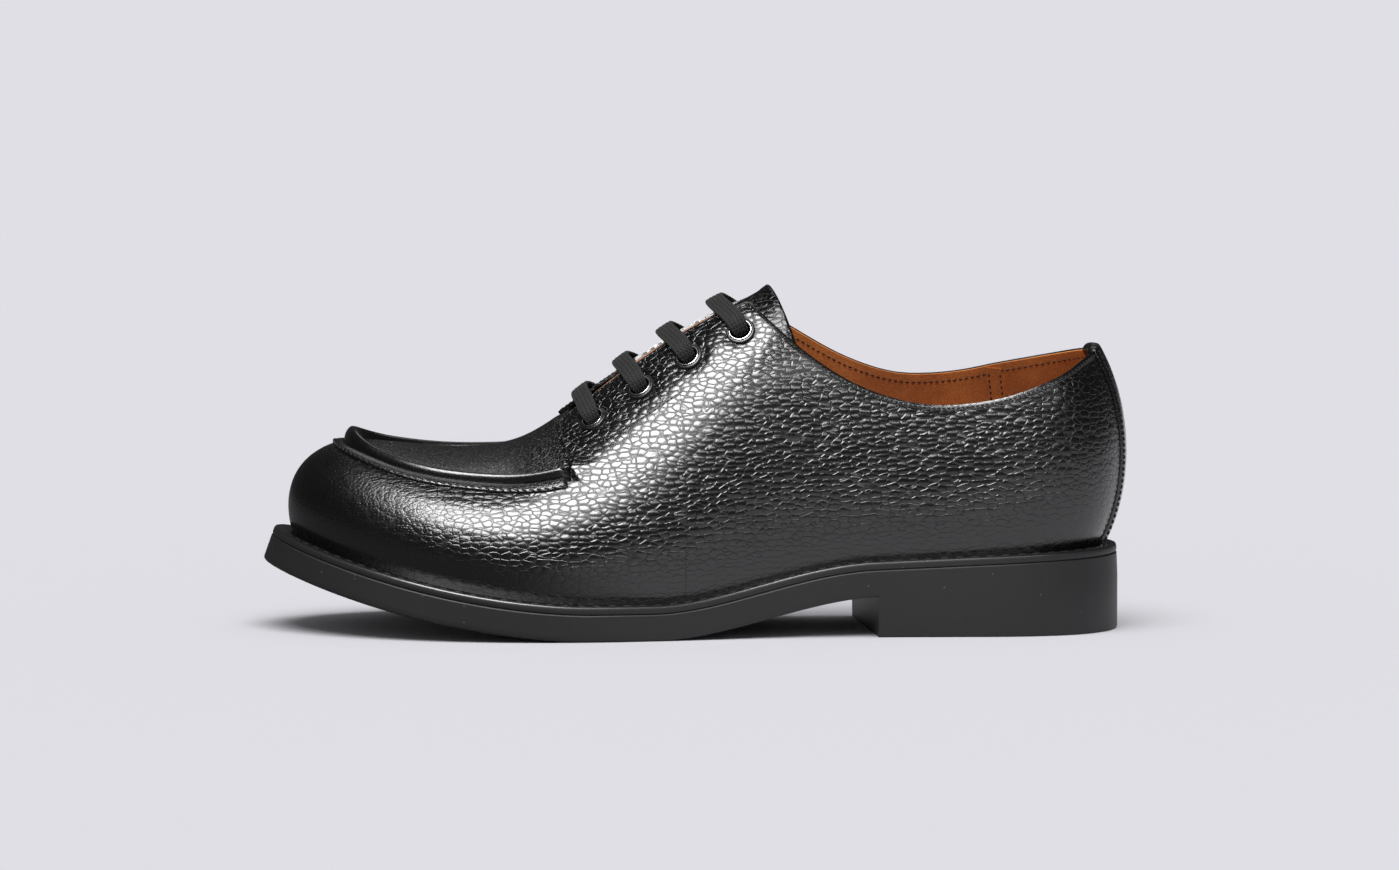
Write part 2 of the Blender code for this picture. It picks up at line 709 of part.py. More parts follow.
def make_back_strip(material):
    """A leather strip up the heel, folded over the collar and down inside it."""
    offsets = np.linspace(-0.5, 0.5, 9) * STRIP_WIDTH
    bottom = float(feather(0.0)[0, 2]) + STRIP_THICKNESS + CLEARANCE
    top = float(last(0.0, upper_edge(0.0))[0, 2])
    rows = []
    for height in np.linspace(bottom, top - STRIP_WIDTH / 4, 12):
        rows.append(strip_places(height, offsets))
    ways, heights = rows[-1]
    edges = upper_edge(ways)
    for share in (0.5, 1.0):
        rows.append((ways, heights + share * (edges - heights)))
    under, over = [], []
    for ways, heights in rows:
        places = last(ways, heights)
        normals = outward(ways, heights)
        under.append(places + normals * CLEARANCE)
        over.append(places + normals * (CLEARANCE + STRIP_THICKNESS))
    up = last(ways, edges) - last(ways, edges - 0.01)
    up = up / np.linalg.norm(up, axis=1)[:, None]
    edge_places = last(ways, edges)
    edge_normals = outward(ways, edges)
    for depth, near in ((0.0, CLEARANCE), (WALL, CLEARANCE)):
        sideways = edge_normals * (CLEARANCE if depth == 0 else -CLEARANCE)
        under.append(edge_places - edge_normals * depth + up * near + sideways)
        over.append(edge_places - edge_normals * depth + up * (near + STRIP_THICKNESS)
                    + sideways * (1 + STRIP_THICKNESS / CLEARANCE / 2))
    for fold in (0.5, 1.0):
        lower = edges - fold * STRIP_FOLD / np.linalg.norm(last(ways, edges) - last(ways, edges * 0), axis=1) * edges
        places = last(ways, lower)
        normals = outward(ways, lower)
        under.append(places - normals * (WALL + CLEARANCE))
        over.append(places - normals * (WALL + CLEARANCE + STRIP_THICKNESS))
    return shell("back_strip", np.stack(over), np.stack(under), material)


# Tongue

# Tongue's rows: the way round, its half width as a share of the tongue's, and how far its
# middle hangs as a share of the sag
TONGUE_ROWS = [
    (0.393, 0.60, -1.0),
    (0.395, 0.85, -0.9),
    (0.400, 0.95, -0.5),
    (0.409, 0.98, 0.2),
    (0.440, 1.00, 1.0),
    (0.480, 0.98, 1.0),
    (0.520, 0.92, 1.0),
    (0.560, 0.84, 1.0),
    (0.600, 0.74, 1.0),
    (0.625, 0.68, 1.0),
]


def crosswise(ways, sideways):
    """u and h at distances to the outer side, on planes square to the centre line at each way."""
    side = np.where(sideways >= 0, 1.0, -1.0)
    centre = SPINE_AT(ways)
    along = SPINE_AT(ways, slope=True)
    speed = np.linalg.norm(along, axis=1)
    along = along / speed[:, None]
    heights = np.linspace(0.3, 1.0, 141)
    own = np.array(ways, float)
    for _ in range(8):
        u = np.where(side > 0, own, 2 - own)
        lines = last(u[:, None], heights[None, :])
        away = (lines[..., 1] - SPINE_AT(u)[:, 1:2]) * side[:, None]
        h = np.array([np.interp(-abs(wanted), -row, heights) for wanted, row in zip(sideways, away)])
        own = own - np.sum((last(u, h) - centre) * along, axis=1) / speed
    return u, h


def make_tongue(material):
    """A flat tongue cut square to the instep, hanging a little in the middle and raised at its end."""
    across = np.linspace(-1, 1, 11)
    outer, inner = [], []
    for way, width, hang in TONGUE_ROWS:
        ways = way - TONGUE_SWEEP * np.abs(across * width) ** 1.2
        u, h = crosswise(ways, across * width * TONGUE_WIDTH / 2)
        normals = outward(u, h)
        depth = wall_depth(u, True) + 2 * CLEARANCE + hang * TONGUE_SAG * (1 - across**2)
        outer.append(last(u, h) - normals * depth[:, None])
        inner.append(last(u, h) - normals * (depth + TONGUE_THICKNESS)[:, None])
    return shell("tongue", np.array(outer), np.array(inner), material)


# Lacing

def eyelet_places():
    """For each side, the u, h, place and outward direction of its eyelets, from the throat up."""
    sides = {}
    for side in (1, -1):
        ways = np.linspace(WAY_TAB - WAY_STEP, WAY_TOP_CORNER, 200)
        ways = ways if side > 0 else 2 - ways
        edge = last(ways, upper_edge(ways))
        run = np.concatenate([[0], np.cumsum(np.linalg.norm(np.diff(edge, axis=0), axis=1))])
        row = []
        for k in range(EYELET_COUNT):
            u = float(np.interp(EYELET_FIRST + k * EYELET_PITCH, run, ways))
            up = k / (EYELET_COUNT - 1)
            setback = EYELET_SETBACK_THROAT * (1 - up) + EYELET_SETBACK_TOP * up
            h = along_section(u, float(first_rise(u, inside_gap)[0]), setback)
            row.append((u, h, last(u, h), outward(u, h)))
        sides[side] = row
    return sides


def frame_on(place, direction, across):
    """A matrix at a place with Z along direction and X close to across."""
    z = Vector(direction).normalized()
    x = (Vector(across) - z * Vector(across).dot(z)).normalized()
    y = z.cross(x)
    turn = Matrix((x, y, z)).transposed().to_4x4()
    return Matrix.Translation(Vector(place)) @ turn


def flange_height(u, h, direction, place):
    """How far the leather bulges over its own tangent plane under an eyelet's flange."""
    reach = EYELET_FLANGE / 2
    scale_u = np.linalg.norm(last(u + 0.001, h) - last(u - 0.001, h)) / 0.002
    scale_h = np.linalg.norm(last(u, h + 0.001) - last(u, h - 0.001)) / 0.002
    turns = np.linspace(0, 2 * math.pi, 24, endpoint=False)
    ring = last(u + reach / scale_u * np.cos(turns), h + reach / scale_h * np.sin(turns))
    return max(0.0, float(((ring - place) @ direction).max()))


def make_eyelet(name, place, direction, lift_off, depth, material):
    """A turned eyelet: a flange on the leather and a barrel down through it."""
    bore = EYELET_BORE / 2
    barrel = bore + EYELET_BARREL_WALL
    flange = EYELET_FLANGE / 2
    base = lift_off + CLEARANCE
    top = base + EYELET_FLANGE_THICKNESS
    profile = [
        (bore, -depth), (bore, top - 0.0003), (bore + 0.0004, top),
        (flange - 0.0006, top - 0.0001), (flange, base + 0.0001), (flange - 0.0001, base), (barrel, base),
        (barrel, -depth),
    ]
    segments = 16
    rings = []
    for k in range(segments):
        turn = 2 * math.pi * k / segments
        rings.append([(radius * math.cos(turn), radius * math.sin(turn), z) for radius, z in profile])
    points = np.array(rings)
    points = np.concatenate([points, points[:1]])
    points = np.concatenate([points, points[:, :1]], axis=1)
    lattice = Lattice()
    lattice.grid(points)
    thing = new_object(name, lattice.vertices, lattice.faces, material)
    thing.matrix_local = frame_on(place, direction, (1, 0, 0))
    return thing


CUTTER_LENGTH = 0.016


def cut_eyelet_holes(upper, places):
    radius = EYELET_BORE / 2 + EYELET_BARREL_WALL + CLEARANCE
    for side, row in places.items():
        for k, (_, _, place, direction) in enumerate(row):
            bpy.ops.mesh.primitive_cylinder_add(vertices=16, radius=radius, depth=CUTTER_LENGTH)
            cutter = bpy.context.object
            cutter.name = f"cutter_{'outer' if side > 0 else 'inner'}_{k + 1}"
            for home in list(cutter.users_collection):
                home.objects.unlink(cutter)
            CUTTERS.objects.link(cutter)
            cutter.parent = STAND
            cutter.matrix_local = frame_on(place, direction, (1, 0, 0))
            cutter.hide_render = True
            cutter.display_type = "WIRE"
            cut = upper.modifiers.new(cutter.name, "BOOLEAN")
            cut.object = cutter
            cut.operation = "DIFFERENCE"
            cut.solver = "EXACT"


def facing_place(place, side, lean):
    """u and h of the facing's edge, a distance toward the toe from where it is nearest to a place."""
    ways = np.linspace(WAY_TOP_CORNER, WAY_TAB - WAY_STEP, 400)
    u = ways if side > 0 else 2 - ways
    heights = first_rise(u, inside_gap)
    line = last(u, heights)
    run = np.concatenate([[0], np.cumsum(np.linalg.norm(np.diff(line, axis=0), axis=1))])
    wanted = run[np.argmin(np.linalg.norm(line - place, axis=1))] + lean
    return float(np.interp(wanted, run, u)), float(np.interp(wanted, run, heights))


def lace_end(eye, side, lean):
    """The bar from inside an eyelet up to the facing's edge: points, up directions and widths."""
    u, h, place, direction = eye
    edge_u, edge_h = facing_place(place, side, lean)
    over = CLEARANCE + LACE_THICKNESS / 2
    on_leather = over + 2 * CLEARANCE
    on_flange = on_leather + EYELET_FLANGE_THICKNESS
    inward = last(u + 0.2 * (edge_u - u), h + 0.2 * (edge_h - h)) - place
    inward = inward - direction * (inward @ direction)
    inward = inward / np.linalg.norm(inward)
    rows = [
        (place - direction * 0.0004 - inward * 0.0003, -inward, LACE_WIDTH_IN_EYELET),
        (place + direction * 0.0010 - inward * 0.0002, -inward, LACE_WIDTH_IN_EYELET),
        (place + direction * 0.0021 + inward * 0.0007, direction - inward, LACE_WIDTH_IN_EYELET * 1.15),
        (place + direction * (on_flange + 0.0004) + inward * 0.0026, direction, LACE_WIDTH * 0.80),
    ]
    for share in (0.52, 0.78, 1.0):
        row_u, row_h = u + share * (edge_u - u), h + share * (edge_h - h)
        normal = outward(row_u, row_h)
        over_leather = on_flange if share < 0.6 else on_leather
        rows.append((last(row_u, row_h) + normal * over_leather, normal, LACE_WIDTH))
    return rows


def make_lace_bar(name, outer_eye, inner_eye, lean, material):
    """A flat lace with rounded edges, narrowed where it goes down into the eyelets."""
    first, second = lace_end(outer_eye, 1, lean), lace_end(inner_eye, -1, lean)
    middle = ((first[-1][0] + second[-1][0]) / 2, first[-1][1] + second[-1][1], LACE_WIDTH)
    rows = first + [middle] + second[::-1]
    route = np.array([row[0] for row in rows])
    ups = np.array([row[1] for row in rows])
    widths = [row[2] for row in rows]
    rings = []
    for k, (point, up, width) in enumerate(zip(route, ups, widths)):
        along = route[min(k + 1, len(route) - 1)] - route[max(k - 1, 0)]
        along = along / np.linalg.norm(along)
        up = up - along * (up @ along)
        up = up / np.linalg.norm(up)
        side = np.cross(along, up)
        a, b = width / 2, LACE_THICKNESS / 2
        corners = [(a, 0.0), (a * 0.86, b), (0.0, b), (-a * 0.86, b), (-a, 0.0), (-a * 0.86, -b), (0.0, -b), (a * 0.86, -b)]
        rings.append([point + side * x + up * z for x, z in corners])
    rings = np.array(rings)
    lattice = Lattice()
    lattice.grid(np.concatenate([rings, rings[:, :1]], axis=1))
    for ring in (rings[0], rings[-1]):
        start = len(lattice.vertices)
        lattice.vertices.extend(ring)
        lattice.faces.append(list(range(start, start + len(ring))))
    return new_object(name, lattice.vertices, lattice.faces, material)


# Materials

def new_material(name, colour, roughness, metallic=0.0):
    material = bpy.data.materials.new(name)
    material.use_nodes = True
    shader = material.node_tree.nodes["Principled BSDF"]
    shader.inputs["Base Color"].default_value = (*colour, 1.0)
    shader.inputs["Roughness"].default_value = roughness
    shader.inputs["Metallic"].default_value = metallic
    material.diffuse_color = (*colour, 1.0)
    return material


# The shoe

for thing in list(bpy.data.objects):
    bpy.data.objects.remove(thing)

PARTS = bpy.data.collections.new("derby_shoe")
CUTTERS = bpy.data.collections.new("cutters")
bpy.context.scene.collection.children.link(PARTS)
bpy.context.scene.collection.children.link(CUTTERS)
STAND = bpy.data.objects.new("stand", None)
PARTS.objects.link(STAND)

BLACK_LEATHER = new_material("black_leather", (0.012, 0.012, 0.013), 0.35)
RUBBER = new_material("sole_rubber", (0.030, 0.031, 0.033), 0.75)
WELT_LEATHER = new_material("welt_leather", (0.018, 0.018, 0.019), 0.40)
TAN_LEATHER = new_material("tan_leather", (0.42, 0.22, 0.10), 0.60)
EYELET_METAL = new_material("eyelet_metal", (0.03, 0.03, 0.03), 0.35, 1.0)
LACE_CLOTH = new_material("lace_cloth", (0.02, 0.02, 0.022), 0.80)

make_sole(RUBBER)
make_welt(WELT_LEATHER)
make_insole(TAN_LEATHER)
UPPER = make_upper(BLACK_LEATHER)
make_back_strip(BLACK_LEATHER)
make_tongue(BLACK_LEATHER)
EYES = eyelet_places()
cut_eyelet_holes(UPPER, EYES)
for side_name, side in (("outer", 1), ("inner", -1)):
    for k, (u, h, place, direction) in enumerate(EYES[side]):
        lift_off = flange_height(u, h, direction, place)
        make_eyelet(f"eyelet_{side_name}_{k + 1}", place, direction, lift_off, WALL, EYELET_METAL)
for k in range(EYELET_COUNT):
    lean = LACE_LEAN * k / (EYELET_COUNT - 1)
    make_lace_bar(f"lace_bar_{k + 1}", EYES[1][k], EYES[-1][k], lean, LACE_CLOTH)

bpy.context.view_layer.update()
CORNERS = np.array([thing.matrix_world @ vertex.co for thing in PARTS.objects if thing.type == "MESH"
                    for vertex in thing.data.vertices])
MIDDLE = (CORNERS.min(axis=0) + CORNERS.max(axis=0)) / 2
STAND.location = (-MIDDLE[0], -MIDDLE[1], -CORNERS[:, 2].min())
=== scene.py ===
"""Looks of the derby shoe: leather, lining, welt, rubber sole, eyelets and laces.

Lengths are in metres, +X to the toe, +Y to the outer side, +Z up. The surface of
the last is the one that the solids are made from, so every piece is set out on it
by (u, h): u runs round the feather line from the heel (0) over the outer side to
the toe (1) and back, and h runs up from the feather (0) to the centre line (1).
"""

import math

import bmesh
import bpy
import numpy as np
from mathutils import Matrix, Vector


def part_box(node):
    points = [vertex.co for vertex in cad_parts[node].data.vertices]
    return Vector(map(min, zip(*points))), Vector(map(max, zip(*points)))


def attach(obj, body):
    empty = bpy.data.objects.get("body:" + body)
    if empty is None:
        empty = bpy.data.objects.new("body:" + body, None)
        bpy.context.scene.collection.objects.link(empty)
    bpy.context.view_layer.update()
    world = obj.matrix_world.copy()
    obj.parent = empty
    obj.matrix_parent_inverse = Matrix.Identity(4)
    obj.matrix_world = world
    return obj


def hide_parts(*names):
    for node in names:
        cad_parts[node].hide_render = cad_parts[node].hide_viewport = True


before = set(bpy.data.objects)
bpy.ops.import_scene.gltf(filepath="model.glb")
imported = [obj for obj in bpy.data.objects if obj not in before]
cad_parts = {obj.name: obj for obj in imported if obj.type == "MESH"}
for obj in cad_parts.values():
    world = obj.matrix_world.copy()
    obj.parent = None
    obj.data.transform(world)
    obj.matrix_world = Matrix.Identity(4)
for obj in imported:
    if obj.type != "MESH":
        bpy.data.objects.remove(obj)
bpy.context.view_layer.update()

# Sole
SOLE_LENGTH = 0.300
BALL_WIDTH = 0.106
OUTSOLE_THICKNESS = 0.0093
HEEL_HEIGHT = 0.0139
HEEL_LENGTH = 0.085
HEEL_BREAST_SKEW = 0.007
SEAT_RISE = 0.0037
TOE_SPRING = 0.024
TOE_SPRING_POWER = 1.75
TREAD_FLAT_LENGTH = 0.021
TREAD_FLAT_START = 0.162

# Welt and insole
WELT_THICKNESS = 0.0029
WELT_WIDTH = 0.0062
WELT_TUCK = 0.0014
INSOLE_THICKNESS = 0.0055

# Upper, heights from the floor
INSTEP_HEIGHT = 0.120
COLLAR_HEIGHT = 0.098
WALL = 0.0022
APRON_DROP = 0.0015
LACING_GAP_TOP = 0.024
LACING_GAP_THROAT = 0.017

# Back strip
STRIP_WIDTH = 0.021
STRIP_THICKNESS = 0.0011
STRIP_FOLD = 0.008

# Tongue
TONGUE_THICKNESS = 0.0022
TONGUE_WIDTH = 0.052
TONGUE_SAG = 0.0012
TONGUE_SWEEP = 0.016

# Lacing
EYELET_COUNT = 4
EYELET_PITCH = 0.0208
EYELET_FIRST = 0.0125
EYELET_SETBACK_THROAT = 0.0156
EYELET_SETBACK_TOP = 0.0128
EYELET_FLANGE_THICKNESS = 0.0007
LACE_WIDTH = 0.0068
LACE_THICKNESS = 0.0015
LACE_WIDTH_IN_EYELET = 0.0052
LACE_LEAN = 0.0034

# Clearance between pieces that touch on the real shoe
CLEARANCE = 0.0003

# Plan of the sole: x as a share of its length, half widths as shares of the ball width
OUTLINE = [  # x, outer side, inner side
    (0.000, 0.000, 0.000),
    (0.012, 0.142, 0.142),
    (0.045, 0.248, 0.248),
    (0.100, 0.311, 0.308),
    (0.170, 0.330, 0.322),
    (0.280, 0.340, 0.305),
    (0.400, 0.374, 0.283),
    (0.500, 0.432, 0.322),
    (0.600, 0.485, 0.412),
    (0.680, 0.500, 0.478),
    (0.750, 0.489, 0.500),
    (0.830, 0.437, 0.470),
    (0.900, 0.345, 0.393),
    (0.955, 0.228, 0.283),
    (0.988, 0.105, 0.165),
    (1.000, -0.030, 0.030),
]

# How far the welt stands out past the feather, as a share of the welt's width
WELT_MARGIN = [  # way round, share
    (0.00, 0.81),
    (0.30, 0.77),
    (0.45, 0.77),
    (0.65, 1.05),
    (0.85, 1.05),
    (1.00, 0.97),
]

# Centre line over the instep, and how far the sections lean to the outer side there
SPINE = [  # way round, x of length, y of ball width, z of instep height, lean
    (0.00, 0.133, 0.000, 1.025, 0.00),
    (0.10, 0.150, 0.000, 1.033, 0.00),
    (0.20, 0.210, 0.000, 1.058, 0.02),
    (0.30, 0.310, 0.000, 1.067, 0.05),
    (0.40, 0.420, 0.000, 1.005, 0.08),
    (0.50, 0.535, -0.010, 0.853, 0.10),
    (0.60, 0.650, -0.020, 0.637, 0.14),
    (0.65, 0.700, -0.025, 0.557, 0.16),
    (0.70, 0.745, -0.028, 0.527, 0.16),
    (0.80, 0.810, -0.030, 0.529, 0.15),
    (0.90, 0.845, -0.030, 0.5435, 0.12),
    (1.00, 0.850, -0.030, 0.545, 0.00),
]

# Sections of the last: each is a curve from the feather to the centre line with three
# controls between. Reach is a share of the way out from the centre line to the feather,
# rise a share of the height between them. The last control lies on the instep's slope.
SECTIONS = [  # way round, then reach 1, rise 1, reach 2, rise 2, reach 3: outer, inner side
    (0.00, 1.25, 0.17, 1.47, 0.55, 0.86, 1.25, 0.17, 1.47, 0.55, 0.86),
    (0.10, 1.22, 0.18, 1.28, 0.51, 0.80, 1.22, 0.18, 1.28, 0.51, 0.80),
    (0.20, 1.16, 0.20, 1.06, 0.50, 0.65, 1.16, 0.20, 1.06, 0.50, 0.65),
    (0.30, 1.13, 0.22, 0.98, 0.52, 0.60, 1.12, 0.22, 1.05, 0.52, 0.60),
    (0.40, 1.12, 0.25, 0.95, 0.85, 0.48, 1.12, 0.25, 1.08, 0.88, 0.62),
    (0.50, 1.14, 0.28, 0.96, 0.66, 0.55, 1.10, 0.28, 1.08, 0.74, 0.66),
    (0.60, 1.12, 0.30, 1.00, 0.72, 0.46, 1.08, 0.30, 1.04, 0.86, 0.52),
    (0.70, 1.12, 0.32, 1.00, 0.80, 0.50, 1.08, 0.33, 1.04, 0.97, 0.56),
    (0.80, 1.10, 0.33, 1.00, 0.84, 0.50, 1.08, 0.34, 1.02, 0.99, 0.56),
    (0.90, 1.10, 0.36, 1.03, 0.91, 0.53, 1.10, 0.36, 1.03, 0.98, 0.56),
    (1.00, 1.10, 0.37, 1.05, 0.93, 0.55, 1.10, 0.37, 1.05, 0.93, 0.55),
]

# Top line of the collar, from the heel to the corner of the facings
TOP_LINE = [  # x of length, height on the outer side, on the inner side, of collar height
    (0.000, 1.010, 1.010),
    (0.035, 0.985, 0.995),
    (0.068, 0.922, 0.974),
    (0.103, 0.874, 0.953),
    (0.140, 0.838, 0.932),
    (0.175, 0.819, 0.910),
    (0.215, 0.812, 0.897),
    (0.255, 0.828, 0.900),
    (0.313, 0.892, 0.954),
    (0.372, 1.010, 1.052),
    (0.416, 1.128, 1.140),
    (0.480, 1.310, 1.320),
]

# Seam between the side wall and the apron, as a height up the section
SEAM = [  # way round, outer side, inner side
    (0.56, 0.540, 0.600),
    (0.61, 0.560, 0.620),
    (0.66, 0.605, 0.640),
    (0.72, 0.650, 0.660),
    (0.80, 0.680, 0.665),
    (0.86, 0.730, 0.700),
    (0.93, 0.800, 0.770),
    (1.00, 0.820, 0.820),
]

# Way round from which the centre line's slope is held to the toe
WAY_SLOPE_HELD = 0.78

# Way round at the front edge of the facings' tabs, and where their top corners lie
WAY_TAB = 0.608
WAY_TOP_CORNER = 0.410
WAY_TAB_CORNER = 0.035
WAY_TOP_ROUND = 0.020

def unit(vectors):
    """Vectors along the last axis, each brought to length 1."""
    return vectors / np.linalg.norm(vectors, axis=-1, keepdims=True)


def run_along(points):
    """Lengths along a line of points, from its start to each."""
    return np.concatenate([[0], np.cumsum(np.linalg.norm(np.diff(points, axis=0), axis=1))])


def on_side(way, side):
    """u at a way round, on the outer side (1) or the inner side (-1)."""
    return way if side > 0 else 2 - way


def round_toe(ways):
    """u from ways along the outer side to the toe, and back along the inner side."""
    return np.concatenate([ways, 2 - ways[-2::-1]])
def closed_spline(knots, points):
    """A smooth closed curve of period 2 through points (n, d) at the knots."""
    knots = np.asarray(knots, float)
    points = np.asarray(points, float)
    count = len(knots)
    step = np.diff(np.append(knots, knots[0] + 2.0))
    system = np.zeros((count, count))
    right = np.zeros(points.shape)
    for i in range(count):
        after = (i + 1) % count
        system[i, i - 1] += step[i - 1]
        system[i, i] += 2 * (step[i - 1] + step[i])
        system[i, after] += step[i]
        right[i] = 6 * ((points[after] - points[i]) / step[i] - (points[i] - points[i - 1]) / step[i - 1])
    bend = np.linalg.solve(system, right)

    def at(u, slope=False):
        u = np.atleast_1d(np.asarray(u, float)) % 2.0
        i = np.searchsorted(knots, u, side="right") - 1
        j = (i + 1) % count
        span = step[i][:, None]
        past = (u - knots[i])[:, None]
        left = span - past
        if slope:
            chord = (points[j] - points[i]) / span
            return (chord - bend[i] * (left * left / (2 * span) - span / 6)
                    + bend[j] * (past * past / (2 * span) - span / 6))
        return (bend[i] * left**3 / (6 * span) + bend[j] * past**3 / (6 * span)
                + (points[i] / span - bend[i] * span / 6) * left
                + (points[j] / span - bend[j] * span / 6) * past)

    return at


def both_sides(ways, outer, inner):
    """A closed spline along the outer side from heel to toe, then back along the inner side."""
    knots = list(ways) + [2.0 - way for way in ways[-2:0:-1]]
    return closed_spline(knots, list(outer) + list(inner[-2:0:-1]))


def smooth_line(table, column):
    """A smooth function through two columns of a table, the first against a later one."""
    x = np.array([row[0] for row in table])
    y = np.array([row[column] for row in table])
    slope = np.gradient(y, x)

    def at(value):
        value = np.clip(np.asarray(value, float), x[0], x[-1])
        i = np.clip(np.searchsorted(x, value, side="right") - 1, 0, len(x) - 2)
        span = x[i + 1] - x[i]
        t = (value - x[i]) / span
        return ((2 * t**3 - 3 * t**2 + 1) * y[i] + (t**3 - 2 * t**2 + t) * span * slope[i]
                + (3 * t**2 - 2 * t**3) * y[i + 1] + (t**3 - t**2) * span * slope[i + 1])

    return at


# Sole

def rise(x):
    """Height of the outsole's underside over the floor, without the heel block."""
    x = np.asarray(x, float)
    front = TREAD_FLAT_START + TREAD_FLAT_LENGTH
    seat_slope = -SEAT_RISE / HEEL_LENGTH
    seat = HEEL_HEIGHT + seat_slope * (x - HEEL_LENGTH)
    waist_length = TREAD_FLAT_START - HEEL_LENGTH
    s = np.clip((x - HEEL_LENGTH) / waist_length, 0, 1)
    waist = HEEL_HEIGHT * (2 * s**3 - 3 * s**2 + 1) + seat_slope * waist_length * (s**3 - 2 * s**2 + s)
    past = np.clip((x - front) / (SOLE_LENGTH - front), 0, None)
    toe = TOE_SPRING * past**TOE_SPRING_POWER
    return np.where(x < HEEL_LENGTH, seat, np.where(x < TREAD_FLAT_START, waist, toe))


def lift(x, height):
    """x and z of a point a height over the outsole's underside, square to it."""
    step = 1e-4
    slope = (rise(x + step) - rise(x - step)) / (2 * step)
    length = np.sqrt(1 + slope * slope)
    return x - height * slope / length, rise(x) + height / length


def outline_curve():
    outer = np.array([(x * SOLE_LENGTH, half * BALL_WIDTH) for x, half, _ in OUTLINE])
    inner = np.array([(x * SOLE_LENGTH, -half * BALL_WIDTH) for x, _, half in OUTLINE])
    chords = np.linalg.norm(np.diff(outer, axis=0), axis=1) + np.linalg.norm(np.diff(inner, axis=0), axis=1)
    ways = np.concatenate([[0], np.cumsum(chords)]) / chords.sum()
    return both_sides(ways, outer, inner)


SOLE_EDGE = outline_curve()
MARGIN_AT = both_sides(
    [way for way, _ in WELT_MARGIN],
    [[share * WELT_WIDTH] for _, share in WELT_MARGIN],
    [[share * WELT_WIDTH] for _, share in WELT_MARGIN],
)


def inset(u, distance):
    """Plan points at a distance inside the sole's edge."""
    u = np.atleast_1d(np.asarray(u, float))
    along = unit(SOLE_EDGE(u, slope=True))
    inward = np.stack([along[:, 1], -along[:, 0]], 1)
    return SOLE_EDGE(u) + inward * np.broadcast_to(distance, u.shape)[:, None]


def over_sole(plan, height):
    """Points over plan points, at a height above the outsole's underside."""
    x, z = lift(plan[:, 0], height)
    return np.stack([x, plan[:, 1], z], 1)


# Last

def feather(u):
    top = OUTSOLE_THICKNESS + WELT_THICKNESS
    return over_sole(inset(u, MARGIN_AT(u)[:, 0]), top + CLEARANCE)


def spine_rows():
    return np.array([(x * SOLE_LENGTH, y * BALL_WIDTH, z * INSTEP_HEIGHT) for _, x, y, z, _ in SPINE])


SPINE_WAYS = [row[0] for row in SPINE]
SPINE_AT = both_sides(SPINE_WAYS, spine_rows(), spine_rows())
LEAN_AT = both_sides(SPINE_WAYS, [[row[4]] for row in SPINE], [[-row[4]] for row in SPINE])
SECTION_AT = both_sides(
    [row[0] for row in SECTIONS],
    [row[1:6] for row in SECTIONS],
    [row[6:] for row in SECTIONS],
)


def spine_slope_curve():
    line = SPINE_AT(np.linspace(0, WAY_SLOPE_HELD, 200))
    return line[:, 0], np.gradient(line[:, 2], line[:, 0])


SPINE_X, SPINE_SLOPE = spine_slope_curve()


def section_controls(u):
    """The five Bezier points of the section at each u."""
    foot = feather(u)
    top = SPINE_AT(u)
    reach1, rise1, reach2, rise2, reach3 = SECTION_AT(u).T
    arm = foot - top
    arm[:, 2] = 0
    tall = top[:, 2] - foot[:, 2]
    first = top + arm * reach1[:, None]
    first[:, 2] = foot[:, 2] + rise1 * tall
    second = top + arm * reach2[:, None]
    second[:, 2] = foot[:, 2] + rise2 * tall
    third = top + arm * reach3[:, None]
    slope = np.interp(top[:, 0], SPINE_X, SPINE_SLOPE)
    sideways = LEAN_AT(u)[:, 0] * reach3 * np.linalg.norm(arm, axis=1)
    third[:, 2] = top[:, 2] + slope * (third[:, 0] - top[:, 0]) - sideways
    return foot, first, second, third, top


def last(u, h):
    """Points on the outside of the leather."""
    u, h = np.broadcast_arrays(np.asarray(u, float), np.asarray(h, float))
    points = section_controls(u.ravel())
    h = h.ravel()[:, None]
    g = 1 - h
    weights = (g**4, 4 * g**3 * h, 6 * g**2 * h**2, 4 * g * h**3, h**4)
    return sum(weight * point for weight, point in zip(weights, points)).reshape(u.shape + (3,))


def outward(u, h):
    """Unit normals of the last, pointing out of the shoe."""
    u, h = np.broadcast_arrays(np.asarray(u, float), np.asarray(h, float))
    step = 1e-4
    low = np.clip(h - step, 0, 1)
    high = np.clip(h + step, 0, 1)
    up = last(u, high) - last(u, low)
    round_it = last(u + step, np.minimum(h, 0.999)) - last(u - step, np.minimum(h, 0.999))
    return unit(np.cross(up, round_it))


# Pattern lines on the last

TOP_LINE_OUTER = smooth_line(TOP_LINE, 1)
TOP_LINE_INNER = smooth_line(TOP_LINE, 2)
SEAM_AT = both_sides(
    [0.0] + [row[0] for row in SEAM],
    [[SEAM[0][1]]] + [[row[1]] for row in SEAM],
    [[SEAM[0][2]]] + [[row[2]] for row in SEAM],
)


def way_of(u):
    """Share of the way from the heel to the toe, on either side."""
    u = np.asarray(u, float) % 2.0
    return np.minimum(u, 2.0 - u)


def side_of(u):
    """1 on the outer side, -1 on the inner side."""
    return np.where(np.asarray(u, float) % 2.0 <= 1.0, 1.0, -1.0)


